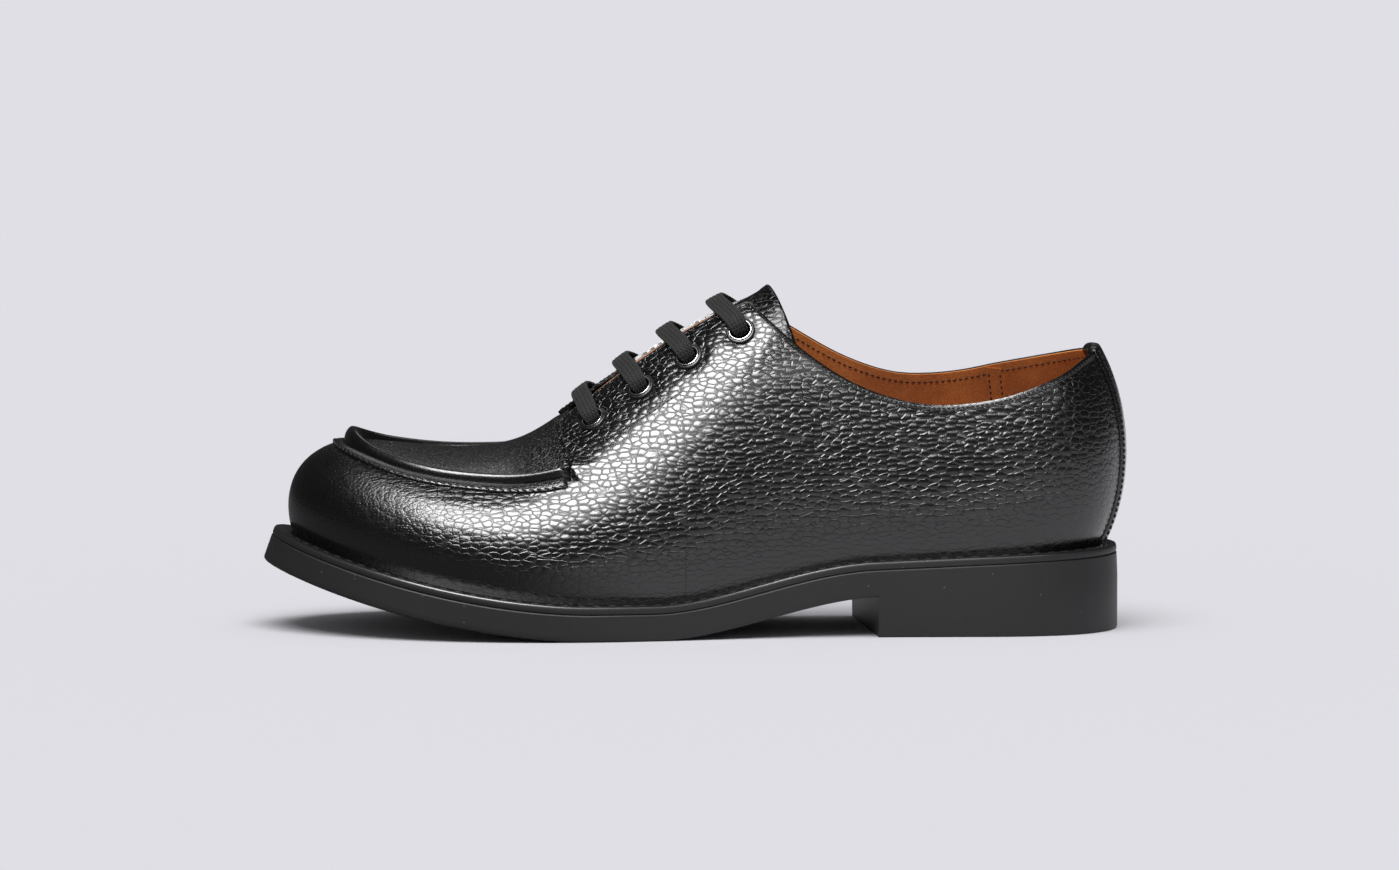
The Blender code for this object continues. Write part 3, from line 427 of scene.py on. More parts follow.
def first_rise(u, value):
    """The lowest h at which value(points) turns positive, on each section."""
    u = np.atleast_1d(np.asarray(u, float))
    heights = np.linspace(0.2, 1.0, 161)
    values = value(last(u[:, None], heights[None, :]), u[:, None])
    above = values > 0
    k = np.where(above.any(axis=1), above.argmax(axis=1), len(heights) - 1)
    k = np.clip(k, 1, len(heights) - 1)
    rows = np.arange(len(u))
    before, after = values[rows, k - 1], values[rows, k]
    share = np.clip(before / np.where(before == after, 1.0, before - after), 0, 1)
    return heights[k - 1] + share * (heights[k] - heights[k - 1])


def over_top_line(points, u):
    share = points[..., 0] / SOLE_LENGTH
    outer = TOP_LINE_OUTER(share)
    inner = TOP_LINE_INNER(share)
    return points[..., 2] - COLLAR_HEIGHT * np.where(side_of(u) > 0, outer, inner)


def half_gap(way):
    """Half the space between the facings."""
    along = np.clip((way - WAY_TOP_CORNER) / (WAY_TAB - WAY_TOP_CORNER), 0, 1)
    return (LACING_GAP_TOP * (1 - along) + LACING_GAP_THROAT * along) / 2


def inside_gap(points, u):
    centre = SPINE_AT(np.ravel(u))[:, 1].reshape(np.shape(u))
    return half_gap(way_of(u)) - (points[..., 1] - centre) * side_of(u)


def upper_edge(u):
    """h of the quarter's upper edge: the collar's top line, then the facing, then the tab's corner."""
    u = np.atleast_1d(np.asarray(u, float))
    way = way_of(u)
    collar = first_rise(u, over_top_line)
    facing = first_rise(u, inside_gap)
    difference = np.abs(collar - facing)
    blend = np.clip(1 - difference / WAY_TOP_ROUND, 0, 1) ** 2 * WAY_TOP_ROUND / 4
    near = np.clip((way - WAY_TAB + WAY_TAB_CORNER) / WAY_TAB_CORNER, 0, 1)
    corner = WAY_TAB_CORNER * (1 - np.sqrt(1 - 0.98 * near**2))
    return np.where(way < 0.2, collar, np.minimum(collar, facing) - blend) - corner


def along_section(u, start, distance):
    """h at a distance down the section from start, on one section."""
    heights = np.linspace(start, 0.2, 200)
    run = run_along(last(np.full(200, u), heights))
    return float(np.interp(distance, run, heights))


# The last is set out from the heel, and the scene from the middle of the shoe
SHIFT = np.array([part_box("sole")[0].x, 0.0, 0.0])

# Layers of the upper, and the band between the seam and the wall
LEATHER = 0.0014
LINING_DEPTH = 0.0015
BAND_WIDTH = 0.0073
BAND_OVERLAP = 0.0024

# Foot of the seam's roll: as far as this outside its ridge, the roll widens round the toe
ROLL_FOOT = 0.0024

# Line of the tab's stitches, and the place where the facing's edge ends, both behind the tab
TAB_STITCH_INSET = 0.0036
FACING_END = 0.0006

# Stay stitches beside the facing: where they start behind the tab, and how far they reach
STAY_START = 0.004
STAY_LENGTH = 0.118

# Widths of leather over which the painted values go from 0 to 1
RIM_WIDTH = 0.006
STAY_WIDTH = 0.012

# Holes for the eyelets, and the dimples round them
HOLE_RADIUS = 0.0040
DIMPLE_DEPTH = 0.0005
DIMPLE_START = 0.0045
DIMPLE_END = 0.0085

# Place of the lining's overlap, and metres for each unit of u there
OVERLAP_WAY = 0.168
OVERLAP_PACE = 0.39

STITCHES = {  # pitch, length and width of the thread
    "apron": (0.0026, 0.0021, 0.00062),
    "lining": (0.0021, 0.0014, 0.0006),
    "overlap": (0.0021, 0.0015, 0.0007),
    "topline": (0.00165, 0.00125, 0.00052),
    "tab": (0.0018, 0.0013, 0.00050),
    "stay": (0.0017, 0.0012, 0.00036),
    "back": (0.0021, 0.0015, 0.0005),
    "welt": (0.0053, 0.0034, 0.0006),
}

# The piped seam across: how far outside its ridge, how high over the last
SEAM_PROFILE = [
    (0.0073, 0.0001),
    (0.00725, 0.0006),
    (0.0070, 0.0009),
    (0.0062, 0.0010),
    (0.0052, 0.0010),
    (0.0042, 0.0009),
    (0.0034, 0.0007),
    (0.0028, 0.0004),
    (0.0024, 0.0001),
    (0.0021, 0.0000),
    (0.0019, 0.0004),
    (0.0016, 0.0009),
    (0.0011, 0.0015),
    (0.0006, 0.0019),
    (0.0000, 0.0022),
    (-0.0006, 0.0021),
    (-0.0011, 0.0016),
    (-0.0014, 0.0009),
    (-0.0016, 0.0001),
    (-0.0017, -0.0007),
    (-0.0019, -0.0013),
    (-0.0023, -0.0015),
]


def smooth_step(value, low, high):
    share = np.clip((np.asarray(value, float) - low) / (high - low), 0, 1)
    return share * share * (3 - 2 * share)


class Sections:
    """Many sections of the last at once, with lengths along them from the feather."""

    def __init__(self, u):
        self.u = np.atleast_1d(np.asarray(u, float))
        self.heights = np.linspace(0, 1, 401)
        lines = last(self.u[:, None], self.heights[None, :])
        steps = np.linalg.norm(np.diff(lines, axis=1), axis=2)
        self.lengths = np.concatenate([np.zeros((len(self.u), 1)), np.cumsum(steps, axis=1)], axis=1)

    def height(self, lengths):
        """h at lengths (columns, rows)."""
        return np.array([np.interp(row, own, self.heights) for row, own in zip(lengths, self.lengths)])

    def length(self, heights):
        """Lengths at h (columns, rows)."""
        return np.array([np.interp(row, self.heights, own) for row, own in zip(heights, self.lengths)])


def surface(u, h, stand=0.0):
    """Points at a distance out of the last."""
    u, h, stand = np.broadcast_arrays(np.asarray(u, float), np.asarray(h, float), np.asarray(stand, float))
    return last(u, h) + outward(u, h) * stand[..., None]


# Meshes

class Lattice:
    """Vertices, faces and painted values gathered from grids of points."""

    def __init__(self):
        self.vertices = []
        self.faces = []
        self.materials = []
        self.values = {}
        self.count = 0

    def grid(self, points, flip=False, material=0, **values):
        """Quads between the rows of an array (rows, columns, 3), with named values at its points."""
        rows, columns = points.shape[:2]
        corner = self.count + np.arange(rows - 1)[:, None] * columns + np.arange(columns - 1)[None, :]
        quads = np.stack([corner, corner + 1, corner + columns + 1, corner + columns], -1).reshape(-1, 4)
        self.faces.append(quads[:, ::-1] if flip else quads)
        self.materials.append(np.full(len(quads), material))
        self.vertices.append(points.reshape(-1, 3))
        for key, value in values.items():
            spread = np.broadcast_to(value, (rows, columns)).ravel()
            self.values.setdefault(key, []).append((self.count, spread))
        self.count += rows * columns

    def strip(self, first, second, **values):
        """Quads between two lines of points."""
        self.grid(np.stack([first, second]), **values)


def new_piece(name, lattice, materials, nodes=(), weld=2e-5, sharp=50, drop=None):
    """A piece from a lattice; drop picks faces to leave out by their middles."""
    vertices = np.concatenate(lattice.vertices)
    faces = np.concatenate(lattice.faces)
    kinds = np.concatenate(lattice.materials)
    if drop is not None:
        keep = ~drop(vertices[faces].mean(axis=1))
        faces, kinds = faces[keep], kinds[keep]
    mesh = bpy.data.meshes.new(name)
    mesh.from_pydata((vertices + SHIFT).tolist(), [], faces.tolist())
    mesh.polygons.foreach_set("material_index", kinds)
    for key, runs in lattice.values.items():
        whole = np.zeros(lattice.count)
        for start, values in runs:
            whole[start:start + len(values)] = values
        mesh.attributes.new(key, "FLOAT", "POINT").data.foreach_set("value", whole)
    work = bmesh.new()
    work.from_mesh(mesh)
    bmesh.ops.remove_doubles(work, verts=work.verts, dist=weld)
    bmesh.ops.dissolve_degenerate(work, edges=work.edges, dist=1e-6)
    bmesh.ops.recalc_face_normals(work, faces=work.faces)
    work.to_mesh(mesh)
    work.free()
    mesh.shade_smooth()
    mesh.set_sharp_from_angle(angle=math.radians(sharp))
    for material in materials:
        mesh.materials.append(material)
    piece = bpy.data.objects.new(name, mesh)
    bpy.context.scene.collection.objects.link(piece)
    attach(piece, "root")
    if nodes:
        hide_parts(*nodes)


def closed_sheet(name, outer, inner, materials, slot, nodes=(), **values):
    """A sheet between two grids of the same size, with its four rims."""
    lattice = Lattice()
    lattice.grid(outer, **values)
    lattice.grid(inner, flip=True, **values)
    for side in (0, -1):
        lattice.strip(outer[side], inner[side])
        lattice.strip(outer[:, side], inner[:, side])
    new_piece(name, lattice, materials, nodes)


def stitch_row(kind, place_name, points, normals, material, sink=0.35, slant=0.0):
    """Bars of thread along a line, each going into the leather at both ends."""
    pitch, length, width = STITCHES[kind]
    run = run_along(points)
    count = max(1, int(run[-1] / pitch))
    middles = (np.arange(count) + 0.5) * run[-1] / count
    shares = np.array([-0.5, -0.4, -0.2, 0.0, 0.2, 0.4, 0.5])
    at = middles[:, None] + shares * length
    place = np.stack([np.interp(at, run, points[:, axis]) for axis in range(3)], -1)
    normal = np.stack([np.interp(at, run, normals[:, axis]) for axis in range(3)], -1)
    across = unit(np.cross(unit(place[:, -1:] - place[:, :1]), normal))
    bow = 1 - (2 * shares) ** 4
    radius = width / 2 * (0.55 + 0.45 * bow)
    height = width * (bow * (1 - sink) - 0.5)
    turns = np.linspace(0, 2 * math.pi, 9)
    middle = place + across * (shares * slant * length)[None, :, None] + normal * height[None, :, None]
    rings = (middle[:, :, None] + across[:, :, None] * (radius[None, :, None] * np.cos(turns))[..., None]
             + normal[:, :, None] * (radius[None, :, None] * np.sin(turns))[..., None])
    lattice = Lattice()
    for ring in rings:
        lattice.grid(ring)
    new_piece(f"{kind}_stitches{place_name}", lattice, [material], weld=1e-6)


# Materials

def feed(tree, made, **inputs):
    """Gives a shader node its inputs; each is a value or another node's output."""
    for key, value in inputs.items():
        place = int(key[1:]) if key[0] == "i" and key[1:].isdigit() else key.replace("_", " ")
        if isinstance(value, bpy.types.NodeSocket):
            tree.links.new(value, made.inputs[place])
        else:
            made.inputs[place].default_value = value
    return made


def node(tree, kind, settings=None, **inputs):
    """A new shader node with its settings and inputs."""
    made = tree.nodes.new(kind)
    for key, value in (settings or {}).items():
        setattr(made, key, value)
    return feed(tree, made, **inputs)


def math_node(tree, operation, first, second=0.0, third=0.0):
    made = node(tree, "ShaderNodeMath", {"operation": operation}, i0=first, i1=second, i2=third)
    return made.outputs[0]


def remap(tree, value, low, high, to_low=0.0, to_high=1.0):
    made = node(tree, "ShaderNodeMapRange", {"interpolation_type": "SMOOTHSTEP"}, Value=value,
                From_Min=low, From_Max=high, To_Min=to_low, To_Max=to_high)
    return made.outputs["Result"]


def noise(tree, coordinates, scale, detail, roughness=0.5):
    made = node(tree, "ShaderNodeTexNoise", Vector=coordinates, Scale=scale, Detail=detail,
                Roughness=roughness)
    return made.outputs["Fac"]


def bumped(tree, height, distance, strength=1.0):
    """Normals of a surface with a height on it."""
    return node(tree, "ShaderNodeBump", Strength=strength, Distance=distance, Height=height).outputs[0]


def painted(tree, key):
    return node(tree, "ShaderNodeAttribute", {"attribute_name": key}).outputs["Fac"]


def object_place(tree):
    """The three object coordinates, apart."""
    return node(tree, "ShaderNodeSeparateXYZ", Vector=node(tree, "ShaderNodeTexCoord").outputs["Object"])


def blend_colour(tree, share, first, second):
    made = node(tree, "ShaderNodeMix", {"data_type": "RGBA"}, i0=share, i6=first, i7=second)
    return made.outputs[2]


def new_material(name):
    material = bpy.data.materials.new(name)
    material.use_nodes = True
    shader = material.node_tree.nodes["Principled BSDF"]
    return material, material.node_tree, shader


def placed(tree, scale=(1, 1, 1), wander=0.0, wander_scale=200.0):
    """Object coordinates, stretched, and wandering a little."""
    coordinates = node(tree, "ShaderNodeTexCoord").outputs["Object"]
    if wander:
        wandering = node(tree, "ShaderNodeTexNoise", Vector=coordinates, Scale=wander_scale, Detail=2.0)
        shifted = node(tree, "ShaderNodeVectorMath", {"operation": "SUBTRACT"}, i0=wandering.outputs["Color"],
                       i1=(0.5, 0.5, 0.5))
        scaled = node(tree, "ShaderNodeVectorMath", {"operation": "SCALE"}, i0=shifted.outputs[0],
                      Scale=wander)
        added = node(tree, "ShaderNodeVectorMath", {"operation": "ADD"}, i0=coordinates, i1=scaled.outputs[0])
        coordinates = added.outputs[0]
    return node(tree, "ShaderNodeMapping", Vector=coordinates, Scale=scale).outputs[0]


def pebbles(tree, coordinates, scale):
    """Height of domed pebbles with creases between them, 0 to 1."""
    edge = node(tree, "ShaderNodeTexVoronoi", {"feature": "DISTANCE_TO_EDGE"}, Vector=coordinates,
                Scale=scale, Randomness=0.8)
    cell = node(tree, "ShaderNodeTexVoronoi", {"feature": "F1"}, Vector=coordinates, Scale=scale,
                Randomness=0.8)
    squared = math_node(tree, "POWER", cell.outputs["Distance"], 2.0)
    dome = math_node(tree, "MAXIMUM", math_node(tree, "MULTIPLY_ADD", squared, -1.6, 1.0), 0.0)
    raised = remap(tree, edge.outputs["Distance"], 0.0, 0.11)
    return math_node(tree, "MULTIPLY_ADD", raised, 0.30, math_node(tree, "MULTIPLY", dome, 0.70))


def groove(tree, value, at, width):
    """1 where a painted value passes a level, and 0 away from it."""
    away = math_node(tree, "ABSOLUTE", math_node(tree, "SUBTRACT", value, at))
    return remap(tree, away, width, 0.0)


def grained_leather(name, shine=1.0):
    """Black grained leather; painted values say how strong and how fine the grain is."""
    material, tree, shader = new_material(name)
    coordinates = placed(tree, (0.70, 1.0, 1.15), 0.0012, 200.0)
    rim = painted(tree, "rim")
    pressed_flat = remap(tree, rim, 0.68, 0.76, 1.0, 0.15)
    strength = math_node(tree, "MULTIPLY", painted(tree, "grain"), pressed_flat)
    stay = groove(tree, painted(tree, "stay"), 0.5, 0.045)
    grooves = math_node(tree, "ADD", groove(tree, rim, 0.667, 0.075), stay)
    large = pebbles(tree, coordinates, 430.0)
    small = math_node(tree, "MULTIPLY", pebbles(tree, coordinates, 1000.0), 0.55)
    mixed = node(tree, "ShaderNodeMix", {"data_type": "FLOAT"}, i0=painted(tree, "fine"), i2=large,
                 i3=small).outputs[0]
    pores = noise(tree, coordinates, 2600.0, 3.0)
    grain = math_node(tree, "MULTIPLY", mixed, strength)
    raised = math_node(tree, "MULTIPLY_ADD", pores, 0.03, grain)
    height = math_node(tree, "MULTIPLY_ADD", grooves, -1.2, raised)
    gloss = remap(tree, mixed, 0.0, 0.9, 0.31, 0.20)
    cloud = noise(tree, coordinates, 70.0, 3.0)
    # Base colour follows the grain's height: painted shade, darker in the creases between pebbles and lighter
    # on their tops
    feed(tree, shader, Normal=bumped(tree, height, 0.00035),
         Base_Color=blend_colour(tree, mixed, (0.0012, 0.0012, 0.0013, 1), (0.0042, 0.0041, 0.0043, 1)),
         Roughness=math_node(tree, "MULTIPLY_ADD", cloud, 0.10, math_node(tree, "SUBTRACT", gloss, 0.05)),
         Specular_IOR_Level=0.6 * shine, Coat_Weight=0.30 * shine, Coat_Roughness=0.20)
    return material


def lining_leather(name, colour, dark):
    """Smooth tan leather with fine pores and uneven dye, and painted shade: darker further down inside the
    shoe.
    """
    material, tree, shader = new_material(name)
    coordinates = placed(tree, wander=0.001, wander_scale=300.0)
    cloud = noise(tree, coordinates, 55.0, 5.0, 0.6)
    pores = noise(tree, coordinates, 1900.0, 3.0)
    # Painted shade: lighter higher up and darker further down inside the shoe, where less light reaches
    painted_depth_shade = remap(tree, object_place(tree).outputs["Z"], 0.062, 0.112, 0.0, 0.75)
    patches = math_node(tree, "MULTIPLY_ADD", remap(tree, cloud, 0.35, 0.68), 0.45, painted_depth_shade)
    spots = remap(tree, pores, 0.40, 0.60, -0.16, 0.10)
    share = math_node(tree, "MAXIMUM", math_node(tree, "ADD", patches, spots), 0.0)
    feed(tree, shader, Base_Color=blend_colour(tree, share, dark, colour),
         Normal=bumped(tree, pores, 0.00016, 0.8), Roughness=0.48, Specular_IOR_Level=0.4)
    return material


def rubber(name):
    """Charcoal rubber, matt, with light specks."""
    material, tree, shader = new_material(name)
    coordinates = placed(tree)
    specks = node(tree, "ShaderNodeTexVoronoi", {"feature": "F1"}, Vector=coordinates, Scale=420.0)
    chosen = node(tree, "ShaderNodeSeparateColor", i0=specks.outputs["Color"])
    near = remap(tree, specks.outputs["Distance"], 0.16, 0.10)
    light = math_node(tree, "MULTIPLY", near, math_node(tree, "GREATER_THAN", chosen.outputs[0], 0.93))
    dust = noise(tree, coordinates, 35.0, 6.0, 0.65)
    base = blend_colour(tree, dust, (0.012, 0.012, 0.0125, 1), (0.019, 0.019, 0.020, 1))
    feed(tree, shader, Base_Color=blend_colour(tree, light, base, (0.075, 0.075, 0.078, 1)),
         Normal=bumped(tree, noise(tree, coordinates, 1500.0, 4.0), 0.0001, 0.35),
         Roughness=0.52, Specular_IOR_Level=0.4)
    return material


def edge_leather(name):
    """Burnished black edge of the welt, nearly smooth."""
    material, tree, shader = new_material(name)
    streaks = noise(tree, placed(tree, (0.5, 0.5, 3.0)), 420.0, 5.0)
    tone = blend_colour(tree, streaks, (0.008, 0.008, 0.009, 1), (0.02, 0.02, 0.021, 1))
    feed(tree, shader, Base_Color=tone, Normal=bumped(tree, streaks, 0.0001, 0.25), Roughness=0.25,
         Coat_Weight=0.3, Coat_Roughness=0.2)
    return material


def thread(name, colour):
    """Waxed sewing thread, lightly twisted."""
    material, tree, shader = new_material(name)
    twist = node(tree, "ShaderNodeTexWave", Vector=placed(tree), Scale=2600.0 / 6, Distortion=1.0)
    wave = twist.outputs["Fac"]
    dark = tuple(0.6 * channel for channel in colour)
    feed(tree, shader, Base_Color=blend_colour(tree, wave, (*dark, 1), (*colour, 1)),
         Normal=bumped(tree, wave, 0.0001, 0.5), Roughness=0.5, Specular_IOR_Level=0.2)
    return material


def lace_cloth(name):
    """Braided cotton; a painted value says how high the strands lie."""
    material, tree, shader = new_material(name)
    fibres = noise(tree, placed(tree), 2400.0, 4.0)
    strands = math_node(tree, "MULTIPLY", painted(tree, "strand"), 0.8)
    # Colour follows the strands' height: painted shade between the strands, lighter on their raised tops,
    # with the fibres' random tone
    light = remap(tree, math_node(tree, "MULTIPLY_ADD", fibres, 0.4, strands), 0.16, 0.80)
    tone = blend_colour(tree, light, (0.0010, 0.0010, 0.0010, 1), (0.036, 0.0365, 0.0350, 1))
    feed(tree, shader, Base_Color=tone, Normal=bumped(tree, fibres, 0.00018, 0.7), Roughness=0.75,
         Specular_IOR_Level=0.25, Sheen_Weight=0.1, Sheen_Roughness=0.4)
    return material


def metal(name, colour, roughness, metallic):
    """Metal or paint with fine wear in its gloss."""
    material, tree, shader = new_material(name)
    scratch = noise(tree, placed(tree), 900.0, 4.0)
    feed(tree, shader, Roughness=remap(tree, scratch, 0.2, 0.8, roughness * 0.8, roughness * 1.25),
         Base_Color=(*colour, 1), Metallic=metallic)
    return material


BLACK = grained_leather("black_grained_leather")
DULL_BLACK = grained_leather("dull_grained_leather", shine=0.5)
EDGE_BLACK = edge_leather("black_edge")
TAN = lining_leather("tan_lining", (0.95, 0.330, 0.075, 1), (0.40, 0.105, 0.020, 1))
SOCK_TAN = lining_leather("tan_sock", (0.50, 0.175, 0.050, 1), (0.40, 0.130, 0.036, 1))
RUBBER = rubber("charcoal_rubber")
BLACK_THREAD = thread("black_thread", (0.035, 0.035, 0.036))
WELT_THREAD = thread("welt_thread", (0.030, 0.030, 0.0295))
TAN_THREAD = thread("tan_thread", (0.090, 0.026, 0.009))
BRAID = lace_cloth("charcoal_braid")
BLACK_PAINT = metal("black_painted_metal", (0.012, 0.012, 0.013), 0.32, 0.0)
BRIGHT_METAL = metal("bright_rim", (0.62, 0.62, 0.61), 0.22, 1.0)


# Eyelets' places, shared by the leather, the eyelets and the laces

def eyelet_places():
    """For each side, the u, h, place and outward direction of its eyelets, from the throat up."""
    sides = {}
    for side in (1, -1):
        ways = on_side(np.linspace(WAY_TAB - FACING_END, WAY_TOP_CORNER, 200), side)
        run = run_along(last(ways, upper_edge(ways)))
        row = []
        for k in range(EYELET_COUNT):
            u = float(np.interp(EYELET_FIRST + k * EYELET_PITCH, run, ways))
            up = k / (EYELET_COUNT - 1)
            setback = EYELET_SETBACK_THROAT * (1 - up) + EYELET_SETBACK_TOP * up
            h = along_section(u, float(first_rise(u, inside_gap)[0]), setback)
            row.append((u, h, last(u, h), outward(u, h)))
        sides[side] = row
    return sides


EYES = eyelet_places()
SIDES = (("outer", 1), ("inner", -1))


def eyelet_dimple(points):
    """How far the leather is pressed in round the eyelets."""
    depth = np.zeros(points.shape[:-1])
    for row in EYES.values():
        for _, _, place, _ in row:
            away = np.linalg.norm(points - place, axis=-1)
            depth = depth + DIMPLE_DEPTH * (1 - smooth_step(away, DIMPLE_START, DIMPLE_END))
    return depth


def at_an_eyelet(points):
    """Points that an eyelet's hole takes away."""
    inside = np.zeros(len(points), bool)
    for row in EYES.values():
        for _, _, place, direction in row:
            offset = points - place
            along = offset @ direction
            away = np.linalg.norm(offset - along[:, None] * direction, axis=1)
            inside |= (away < HOLE_RADIUS) & (np.abs(along) < 0.006)
    return inside


# Upper: quarters and wall in one skin, open at the top

WALL_ROWS = 46
TAB_ROWS = 34


def side_ways():
    """Ways round of the skin's columns behind the tab, and in front of it."""
    behind = np.concatenate([
        np.linspace(0, WAY_TAB - WAY_TAB_CORNER, 150, endpoint=False),
        WAY_TAB - WAY_TAB_CORNER * np.cos(np.linspace(0, math.pi / 2, 22)) ** 1.4,
    ])
    front = np.linspace(WAY_TAB, 1.0, 120)
    return behind, front


def tab_bow(way, h):
    """The tab's front edge bows forward a little between the seam and its corner."""
    near = smooth_step(way, WAY_TAB - 0.06, WAY_TAB) * (way < WAY_TAB + 1e-9)
    return 0.0055 * near * np.sin(math.pi * np.clip((h - 0.56) / 0.40, 0, 1)) ** 0.8


def tab_pucker(u, points):
    """The tab swells over the end of the seam, with short folds running into it."""
    swell = np.zeros(points.shape[:-1])
    for side in (1, -1):
        end_u = 1 - side * (1 - WAY_TAB + 0.001)
        end_h = float(SEAM_AT(end_u)[0, 0])
        end = last(end_u, end_h)
        up = unit(last(end_u, end_h + 0.02) - end)
        back = unit(last(end_u - 0.01 * side, end_h) - end)
        offset = points - end
        x, y = offset @ back, offset @ up
        away = np.hypot(x, y) + 1e-6
        near = 1 - smooth_step(np.linalg.norm(offset, axis=-1), 0.016, 0.024)
        folds = np.cos(np.arctan2(y, x) * 6.0 + 0.6) * np.exp(-((away - 0.004) / 0.0032) ** 2) * 0.00022
        dome = 0.0013 * np.exp(-(x / 0.0075) ** 2 - ((y - 0.0005) / 0.0045) ** 2)
        behind = smooth_step(x, -0.0006, 0.0004)
        swell = swell + near * behind * (side_of(u) == side) * (folds + dome)
    return swell


def skin_grids(side, trim=0.0):
    """Grids of (u, h) behind and in front of the tab, on one side."""
    behind, front = side_ways()
    behind_u, front_u = on_side(behind, side), on_side(front, side)
    sections = Sections(front_u)
    seam_run = sections.length(SEAM_AT(front_u)[:, :1])
    wall_top = seam_run - BAND_WIDTH + BAND_OVERLAP
    shares = np.linspace(0, 1, WALL_ROWS)
    front_h = sections.height(wall_top * shares)
    tab_section = Sections([on_side(WAY_TAB, side)])
    tab_low = tab_section.length(front_h[:1])[0]
    tab_top_h = float(upper_edge(on_side(WAY_TAB - 1e-4, side))[0])
    tab_top = tab_section.length(np.array([[tab_top_h]]))[0, 0]
    tab_run = np.concatenate([tab_low, np.linspace(tab_low[-1], tab_top, TAB_ROWS)[1:]])
    tab_shares = tab_run / tab_top
    even = np.linspace(0, 1, len(tab_shares))
    tops = upper_edge(on_side(np.minimum(behind, WAY_TAB - 1e-4), side))
    own = Sections(behind_u)
    top_run = own.length(tops[:, None]) - trim
    ease = (np.clip((behind - 0.30) / (WAY_TAB - 0.30), 0, 1) ** 2)[:, None]
    behind_h = own.height(top_run * (even * (1 - ease) + tab_shares * ease))
    behind_h[-1, :WALL_ROWS] = front_h[0]
    return (behind_u[:, None], behind_h), (front_u[:, None], front_h)


def skin_points(u, h, stand):
    """Points of the skin's outer face, with the tab's bow and folds and the eyelets' dimples."""
    way = way_of(u)
    u = u + tab_bow(way, h) * side_of(u)
    points = surface(u, h)
    relief = tab_pucker(u, points) - eyelet_dimple(points)
    return surface(u, h, stand + relief)


def skin_values(u, h):
    """Strength and fineness of the grain over the skin."""
    way = way_of(u)
    low = smooth_step(h, 0.04, 0.36)
    toe = smooth_step(way, 0.60, 0.92)
    heel = 1 - smooth_step(way, 0.02, 0.20)
    strength = (0.25 + 0.75 * low) * (1 - 0.62 * toe) * (1 - 0.25 * heel)
    return {"grain": strength, "fine": np.clip(0.75 * toe + 0.35 * heel, 0, 1)}


def stay_depth(share):
    """Distance of the stay stitches below the facing's edge, at a share of their length."""
    return 0.0310 - 0.0045 * share - 0.0050 * np.abs(1 - share) ** 4


def edge_values(u, h):
    """Nearness to the top edge, and place across the stay stitches, which is 0.5 on their line."""
    sections = Sections(u[:, 0])
    run = sections.length(h)
    share = (WAY_TAB - STAY_START - way_of(u)) / STAY_LENGTH
    facing = sections.length(first_rise(u[:, 0], inside_gap)[:, None])
    crossed = np.clip(0.5 + (facing - stay_depth(share) - run) / STAY_WIDTH, 0, 1)
    return {"rim": np.clip(1 - (run[:, -1:] - run) / RIM_WIDTH, 0, 1),
            "stay": np.where((share >= 0) & (share <= 1), crossed, 0.0)}


def make_skin():
    lattice = Lattice()
    for side in (1, -1):
        (u, h), (front_u, front_h) = skin_grids(side)
        outer = skin_points(u, h, 0.0)
        inner = skin_points(u, h, -LEATHER)
        outer[:, -1] = skin_points(u, h, -0.0003)[:, -1]
        values = skin_values(u + 0 * h, h) | edge_values(u, h)
        wall = skin_points(front_u, front_h, 0.0)
        wall_inner = skin_points(front_u, front_h, -LEATHER)
        for seated in (outer, inner, wall, wall_inner):
            seated[:, 0, 2] -= CLEARANCE
        lattice.grid(outer, **values)
        lattice.grid(inner, flip=True)
        lattice.strip(outer[:, -1], inner[:, -1], grain=0.2, rim=1.0)
        lattice.grid(wall, **skin_values(front_u + 0 * front_h, front_h))
        lattice.grid(wall_inner, flip=True)
        lattice.strip(wall[:, -1], wall_inner[:, -1])
        lattice.strip(outer[:, 0], inner[:, 0])
        lattice.strip(wall[:, 0], wall_inner[:, 0])
        lattice.strip(outer[-1, WALL_ROWS - 1:], inner[-1, WALL_ROWS - 1:])
    new_piece("upper_leather", lattice, [BLACK], ["upper"], drop=at_an_eyelet)


# Apron with its rolled, stitched edge

def seam_swell(way):
    """The roll is thicker round the toe, and goes down under the tab."""
    return (1 + 0.55 * smooth_step(way, 0.84, 0.97)) * smooth_step(way, WAY_TAB - 0.004, WAY_TAB + 0.010)


